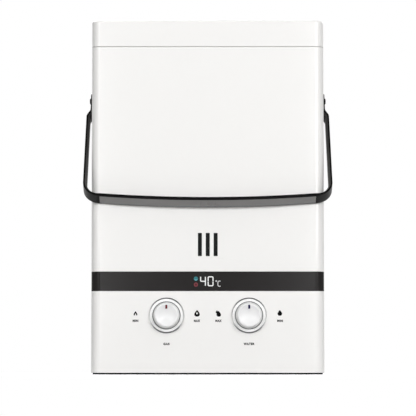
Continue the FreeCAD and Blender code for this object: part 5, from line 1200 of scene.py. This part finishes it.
screw_black = metal("screw_black", screen(16, 16, 17), 0.45)
SHOULDER, PIVOT_HEAD, HEAD_FOOT, HEAD_TALL = 2.5, 4.1, TAB_OUT - HALF_WIDTH + 0.3, 1.4
pivot_profile = rounded([
    (0, -WALL - 2.5), (SHOULDER - 0.5, -WALL - 2.5), (SHOULDER, -WALL - 2.0),
    (SHOULDER, HEAD_FOOT), (PIVOT_HEAD, HEAD_FOOT, 0.1), (PIVOT_HEAD, HEAD_FOOT + 0.5, 0.2),
    (2.9, HEAD_FOOT + HEAD_TALL, 0.5), (0, HEAD_FOOT + HEAD_TALL),
], 4)
SOCKET_RADIUS, SOCKET_FOOT = 1.75, HEAD_FOOT + 0.3
pivot_pair = []
for side in (-1, 1):
    pivot_screw = cut(turned(pivot_profile, 64),
                      [bar(disc_outline(0, 0, SOCKET_RADIUS, 6), SOCKET_FOOT, HEAD_FOOT + 3)],
                      ease=0.06)
    pivot_pair.append(stand(pivot_screw, side * HALF_WIDTH, PIVOT_Y, PIVOT_Z, "Y", side * 90))
fit("pivot_screw_pair", joined(pivot_pair), screw_black, "root", "black_screw", "pivot_screws")


# Connections: three turned brass nipples that stand out of the back wall, held by a flange
# inside it. Gas has a 5/8 inch flare thread, cold and hot water have G 1/2 threads.

brass_turned, place = new_finish("brass_turned")
rings_cut = place.cloud(900, 2, 0.5, (1, 0.05, 1))
stain = place.cloud(90, 4, 0.6)
brass_turned = coated(brass_turned, place, {
    "Base Color": stain.blend(screen(184, 144, 82), screen(216, 184, 122)),
    "Metallic": 1.0,
    "Roughness": 0.2 + stain * 0.14 + rings_cut * 0.06,
    "Normal": relief(rings_cut, 0.006, 0.4),
})
NIPPLE_LONG, NECK, FLANGE, TAIL_RADIUS = 15.0, 1.5, 3.5, 9.0
THREADS = {
    "gas": ("gas_inlet", 1.411, 0.87, 3.5),
    "cold": ("water_inlet", 1.814, 1.16, 4.5),
    "hot": ("water_outlet", 1.814, 1.16, 4.5),
}
THREAD_LEAN = -math.pi / 2
THREAD_ROOT, THREAD_BASE, THREAD_CREST, THREAD_SWELL = 0.1, 0.86, 0.16, 26.0


def thread_ridge(name, radius, pitch, deep, low, high):
    """A ridge that winds round the Z axis and fades out at both ends.

    It is left-handed and stands inwards from the thread's root, so the nipple's wall hides it.
    """
    ridge = Recipe(
        name, turns=("Float", (high - low) / pitch),
        root_radius=("Float", radius - deep - THREAD_ROOT),
        rise=("Float", high - low), foot=("Vector", (0.0, 0.0, low)),
        ridge_base=("Float", pitch * THREAD_BASE), ridge_crest=("Float", pitch * THREAD_CREST),
        ridge_height=("Float", deep + THREAD_ROOT), finish=("Material", brass_turned))
    spiral = ridge.step("GeometryNodeCurveSpiral", {}, {
        "Resolution": 64, "Rotations": ridge.given["turns"],
        "Start Radius": ridge.given["root_radius"], "End Radius": ridge.given["root_radius"],
        "Height": ridge.given["rise"]})
    upright = ridge.step("GeometryNodeSetCurveNormal", {"mode": "Z_UP"}, {"Curve": spiral})
    along = ridge.step("GeometryNodeSplineParameter")
    ends = ridge.step("ShaderNodeMath", {"operation": "PINGPONG"}, {0: along, 1: 0.5})
    swell = ridge.step("ShaderNodeMath", {"operation": "MULTIPLY", "use_clamp": True}, {
        0: ends, 1: THREAD_SWELL})
    section = ridge.step("GeometryNodeCurvePrimitiveQuadrilateral", {"mode": "TRAPEZOID"}, {
        "Bottom Width": ridge.given["ridge_base"], "Top Width": ridge.given["ridge_crest"],
        "Offset": 0.0, "Height": ridge.given["ridge_height"]})
    lifted = ridge.step("GeometryNodeTransform", {}, {
        "Geometry": section, "Rotation": (0.0, 0.0, THREAD_LEAN),
        "Translation": ((deep + THREAD_ROOT) / 2, 0.0, 0.0)})
    wound = ridge.step("GeometryNodeCurveToMesh", {}, {
        "Curve": upright, "Profile Curve": lifted, "Scale": swell, "Fill Caps": True})
    return ridge.grow(ridge.step("GeometryNodeSetPosition", {}, {
        "Geometry": wound, "Offset": ridge.given["foot"]}))


for name, (x, radius) in NIPPLES.items():
    node, pitch, deep, hole = THREADS[name]
    root_radius = radius - deep
    core = turned(rounded([
        (hole, -12.0), (TAIL_RADIUS, -12.0, 0.4), (TAIL_RADIUS, -6.0),
        (radius + FLANGE, -6.0, 0.4), (radius + FLANGE, -3.0, 0.2), (radius + NECK, -3.0),
        (radius + NECK, 0.0, 0.25), (root_radius, 0.0, 0.3),
        (root_radius, NIPPLE_LONG, 0.5), (hole, NIPPLE_LONG, 0.4),
    ], 5), 96)
    ridge = thread_ridge(f"{name}_thread", radius, pitch, deep, 1.6 + pitch / 2,
                         NIPPLE_LONG - 0.3 - pitch / 2)
    fit(f"{name}_connection", stand(joined([core, ridge]), x, BACK, PORT_Z, "X", -90),
        brass_turned, "root", "brass", node)


# Battery door: a flap of black ABS that swings down on two pins at its lower corners. A row
# of ribs beside the finger hollow gives grip, and a lug of the hollow snaps into the shell.

plastic_black = moulded("plastic_black", screen(34, 34, 35), 0.46, depth=0.03, drift=0.1)
DOOR_DEEP, DOOR_PIN, DOOR_PIN_END, HOLLOW_RADIUS = 2.5, 1.0, 37.85, 9.0
PANEL_HALF, PANEL_LOW, PANEL_HIGH, PANEL_DEEP = 28.0, 28.0, 68.0, 0.5
door_axis_y = (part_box("battery_door")[0].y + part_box("battery_door")[1].y) / 2 / MM
door_axis_z = DOOR_LOW + DOOR_DEEP / 2
half_door = DOOR_DEEP / 2
door_section = rounded([
    (-half_door, DOOR_HIGH - door_axis_z, 0.4), (-half_door, -half_door, half_door - 0.01),
    (half_door, -half_door, half_door - 0.01), (half_door, DOOR_HIGH - door_axis_z, 0.4),
], 8)
door_plate = bar([(door_axis_y + y, door_axis_z + z) for y, z in door_section],
                 -DOOR_HALF, DOOR_HALF, "X")
face_y = door_axis_y + half_door
door_cuts = [
    bar(disc_outline(0, DOOR_HIGH, HOLLOW_RADIUS, 64), door_axis_y, face_y + 1, "Y"),
    bar(rounded(oblong(-PANEL_HALF, PANEL_HALF, PANEL_LOW, PANEL_HIGH, 3.0), 6),
        face_y - PANEL_DEEP, face_y + 1, "Y"),
]
door_shape = cut(door_plate, door_cuts, ease=0.25)
RIB_COUNT, RIB_SPACING, RIB_LONG, RIB_RADIUS = 12, 3.0, 44.0, 0.45
rib_low = (PANEL_LOW + PANEL_HIGH) / 2 - RIB_SPACING * (RIB_COUNT - 1) / 2
ribs = Recipe(
    "door_ribs", count=("Int", RIB_COUNT),
    first=("Vector", (0.0, face_y - PANEL_DEEP, rib_low)),
    spacing=("Vector", (0.0, 0.0, RIB_SPACING)),
    left_end=("Vector", (-RIB_LONG / 2, 0.0, 0.0)),
    right_end=("Vector", (RIB_LONG / 2, 0.0, 0.0)),
    slope=("Vector", (0.0, 0.0, 0.0)), rib_radius=("Float", RIB_RADIUS),
    finish=("Material", plastic_black))
rib_rows = row_of_bars(ribs, ribs.step("GeometryNodeCurvePrimitiveCircle", {}, {
    "Resolution": 10, "Radius": ribs.given["rib_radius"]}))
pins = bar([(door_axis_y + y, door_axis_z + z) for y, z in disc_outline(0, 0, DOOR_PIN, 24)],
           -DOOR_PIN_END, DOOR_PIN_END, "X")
fit("battery_door_flap", joined([door_shape, rib_rows, pins]), plastic_black,
    "battery_lid", "black_plastic", "battery_door")


# Power switch: a snap-in rocker switch. The housing's rim lies on the back wall, and the
# rocker tips on two trunnions between its walls. Its marks are moulded in white.

def eased_copy(node, ease, rounds=2):
    """A merged copy of a solid of the frame, in millimetres, with its edges eased."""
    shape = bmesh.new()
    shape.from_mesh(frame["nodes"][node].data)
    bmesh.ops.transform(shape, matrix=Matrix.Scale(1 / MM, 4), verts=shape.verts)
    bmesh.ops.remove_doubles(shape, verts=shape.verts, dist=1e-3)
    bmesh.ops.dissolve_limit(
        shape, angle_limit=math.radians(0.5), verts=shape.verts, edges=shape.edges)
    return cut(shape, [], ease=ease, corner=30, rounds=rounds)


fit("switch_frame", eased_copy("switch_housing", 0.3), plastic_black,
    "root", "black_plastic", "switch_housing")
rocker_black = moulded("rocker_black", screen(26, 26, 27), 0.28, depth=0.01, drift=0.1)
fit("switch_rocker", eased_copy("power_rocker", 0.45, rounds=3), rocker_black,
    "rocker", "black_plastic", "power_rocker")
mark_white = moulded("mark_white", screen(232, 232, 230), 0.4, depth=0.006)
ROCKER_DROP, ROCKER_FACE, ROCKER_REACH, ROCKER_RISE, ROCKER_TIP = 5.0, 6.5, 5.56, 1.5, 12
MARK_MIDDLE, MARK_HALF, MARK_THIN, MARK_PROUD = 3.0, 1.1, 0.25, 0.05
OFF_OUTER, OFF_INNER = 1.15, 0.75
stroke_on = bar(oblong(-MARK_THIN, MARK_THIN, MARK_MIDDLE - MARK_HALF, MARK_MIDDLE + MARK_HALF),
                -MARK_PROUD, MARK_PROUD)
ring_off = cut(bar(disc_outline(0, -MARK_MIDDLE, OFF_OUTER, 32), -MARK_PROUD, MARK_PROUD),
               [bar(disc_outline(0, -MARK_MIDDLE, OFF_INNER, 28), -1, 1)])
rocker_marks = []
for mark in (stroke_on, ring_off):
    for vert in mark.verts:
        x, v, proud = vert.co
        vert.co = (x, ROCKER_FACE + abs(v) * ROCKER_RISE / ROCKER_REACH + proud, v)
    bmesh.ops.recalc_face_normals(mark, faces=mark.faces)
    rocker_marks.append(stand(
        mark, SWITCH_X, BACK - ROCKER_DROP, SWITCH_Z, "X", ROCKER_TIP))
fit("rocker_marks", joined(rocker_marks), mark_white, "rocker", "white_shell")


# Base: a galvanised steel floor with air slots and a flange for the lower back screws. It
# stands on four rubber feet. The drain plug of the water valve is reached through it.

fit("floor_pressing", eased_copy("bottom_plate", 0.2), metal(
    "galvanised", screen(176, 178, 180), 0.42, tarnish=0.18),
    "root", "steel", "bottom_plate")
foot_rubber = moulded("foot_rubber", screen(30, 30, 30), 0.68, depth=0.05, drift=0.15,
                      specular=0.3)
FOOT, FOOT_TALL = 11.0, 4.0
foot_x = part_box("feet")[1].x / MM - FOOT
foot_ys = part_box("feet")[0].y / MM + FOOT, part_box("feet")[1].y / MM - FOOT
foot_shape = turned(rounded([
    (0, 1.2), (3.4, 1.2, 0.3), (3.4, 0.4, 0.2), (4.6, 0.0, 0.3), (FOOT - 1.3, 0.0, 0.7),
    (FOOT, 1.3, 0.7), (FOOT, FOOT_TALL - 0.02), (0, FOOT_TALL - 0.02),
], 5), 64)
fit("foot_set", planted(
    "feet", foot_shape, [(side * foot_x, y, 0.0) for side in (-1, 1) for y in foot_ys],
    foot_rubber), foot_rubber, "root", "foot_rubber", "feet")
PLUG, PLUG_LOW, PLUG_TALL, PLUG_STEM, PLUG_TOP = 10.0, 4.0, 14.0, 6.0, 38.0
FLUTES, FLUTE_DEEP = 20, 0.55
COIN_SLOT_HALF, COIN_SLOT_THIN, COIN_SLOT_DEEP = 6.5, 0.9, 1.8
plug_y = (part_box("drain_plug")[0].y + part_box("drain_plug")[1].y) / 2 / MM


def fluted(radius, level):
    """A ring of points with a shallow finger flute at every step round it."""
    ring = []
    for step in range(FLUTES * 8):
        turn = 2 * math.pi * step / (FLUTES * 8)
        dip = FLUTE_DEEP * max(0.0, math.cos(turn * FLUTES)) ** 2
        ring.append((KNOB_X + (radius - dip) * math.cos(turn),
                     plug_y + (radius - dip) * math.sin(turn), level))
    return ring


plug_head = loft([fluted(PLUG - 1.0, PLUG_LOW), fluted(PLUG - 0.3, PLUG_LOW + 0.3),
                  fluted(PLUG, PLUG_LOW + 1.0), fluted(PLUG, PLUG_LOW + PLUG_TALL - 0.6),
                  fluted(PLUG - 0.6, PLUG_LOW + PLUG_TALL)])
plug_slot = bar(oblong(KNOB_X - COIN_SLOT_HALF, KNOB_X + COIN_SLOT_HALF,
                       plug_y - COIN_SLOT_THIN, plug_y + COIN_SLOT_THIN),
                PLUG_LOW - 1, PLUG_LOW + COIN_SLOT_DEEP)
plug_stem = bar(disc_outline(KNOB_X, plug_y, PLUG_STEM, 48),
                PLUG_LOW + PLUG_TALL - 0.5, PLUG_TOP)
fit("drain_plug_turned", joined([cut(plug_head, [plug_slot]), plug_stem]), plastic_black,
    "root", "black_plastic", "drain_plug")


# Everything else: the pieces inside the casing, of drawn copper, brushed steel, brass, cast
# alloy, plastic, mica and ceramic. They keep their solids' shapes and take on those finishes.

slot_finishes = {
    "black_screw": screw_black,
    "steel": metal("steel_brushed", screen(196, 196, 198), 0.3, (1, 14, 14)),
    "copper": metal("copper_drawn", screen(214, 138, 100), 0.28),
    "brass": brass_turned,
    "alloy": metal("alloy_cast", screen(170, 172, 176), 0.5),
    "black_plastic": plastic_black,
    "foot_rubber": foot_rubber,
    "sight_mica": moulded("mica", screen(19, 18, 18), 0.3, depth=0.01, drift=0.2, specular=0.1),
    "ceramic": moulded("ceramic", screen(236, 232, 222), 0.25),
    "cell": moulded("cell_wrap", screen(70, 74, 80), 0.3),
    "display_parts": moulded("lamp_block", screen(40, 44, 42), 0.5),
    "display_black": strip_black,
    "white_shell": shell_white,
    "knob_white": knob_white,
    "bezel": ring_plate,
    "handle_black": handle_black,
    "grip_grey": grip_grey,
    "pointer_red": pointer_finish("pointer_red_under", screen(120, 12, 30)),
    "pointer_blue": pointer_finish("pointer_blue_under", screen(18, 28, 92)),
}
for row in frame["record"]["subparts"]:
    mesh = frame["nodes"][row["node"]].data
    mesh.materials.clear()
    mesh.materials.append(slot_finishes[row["material_slot"]])
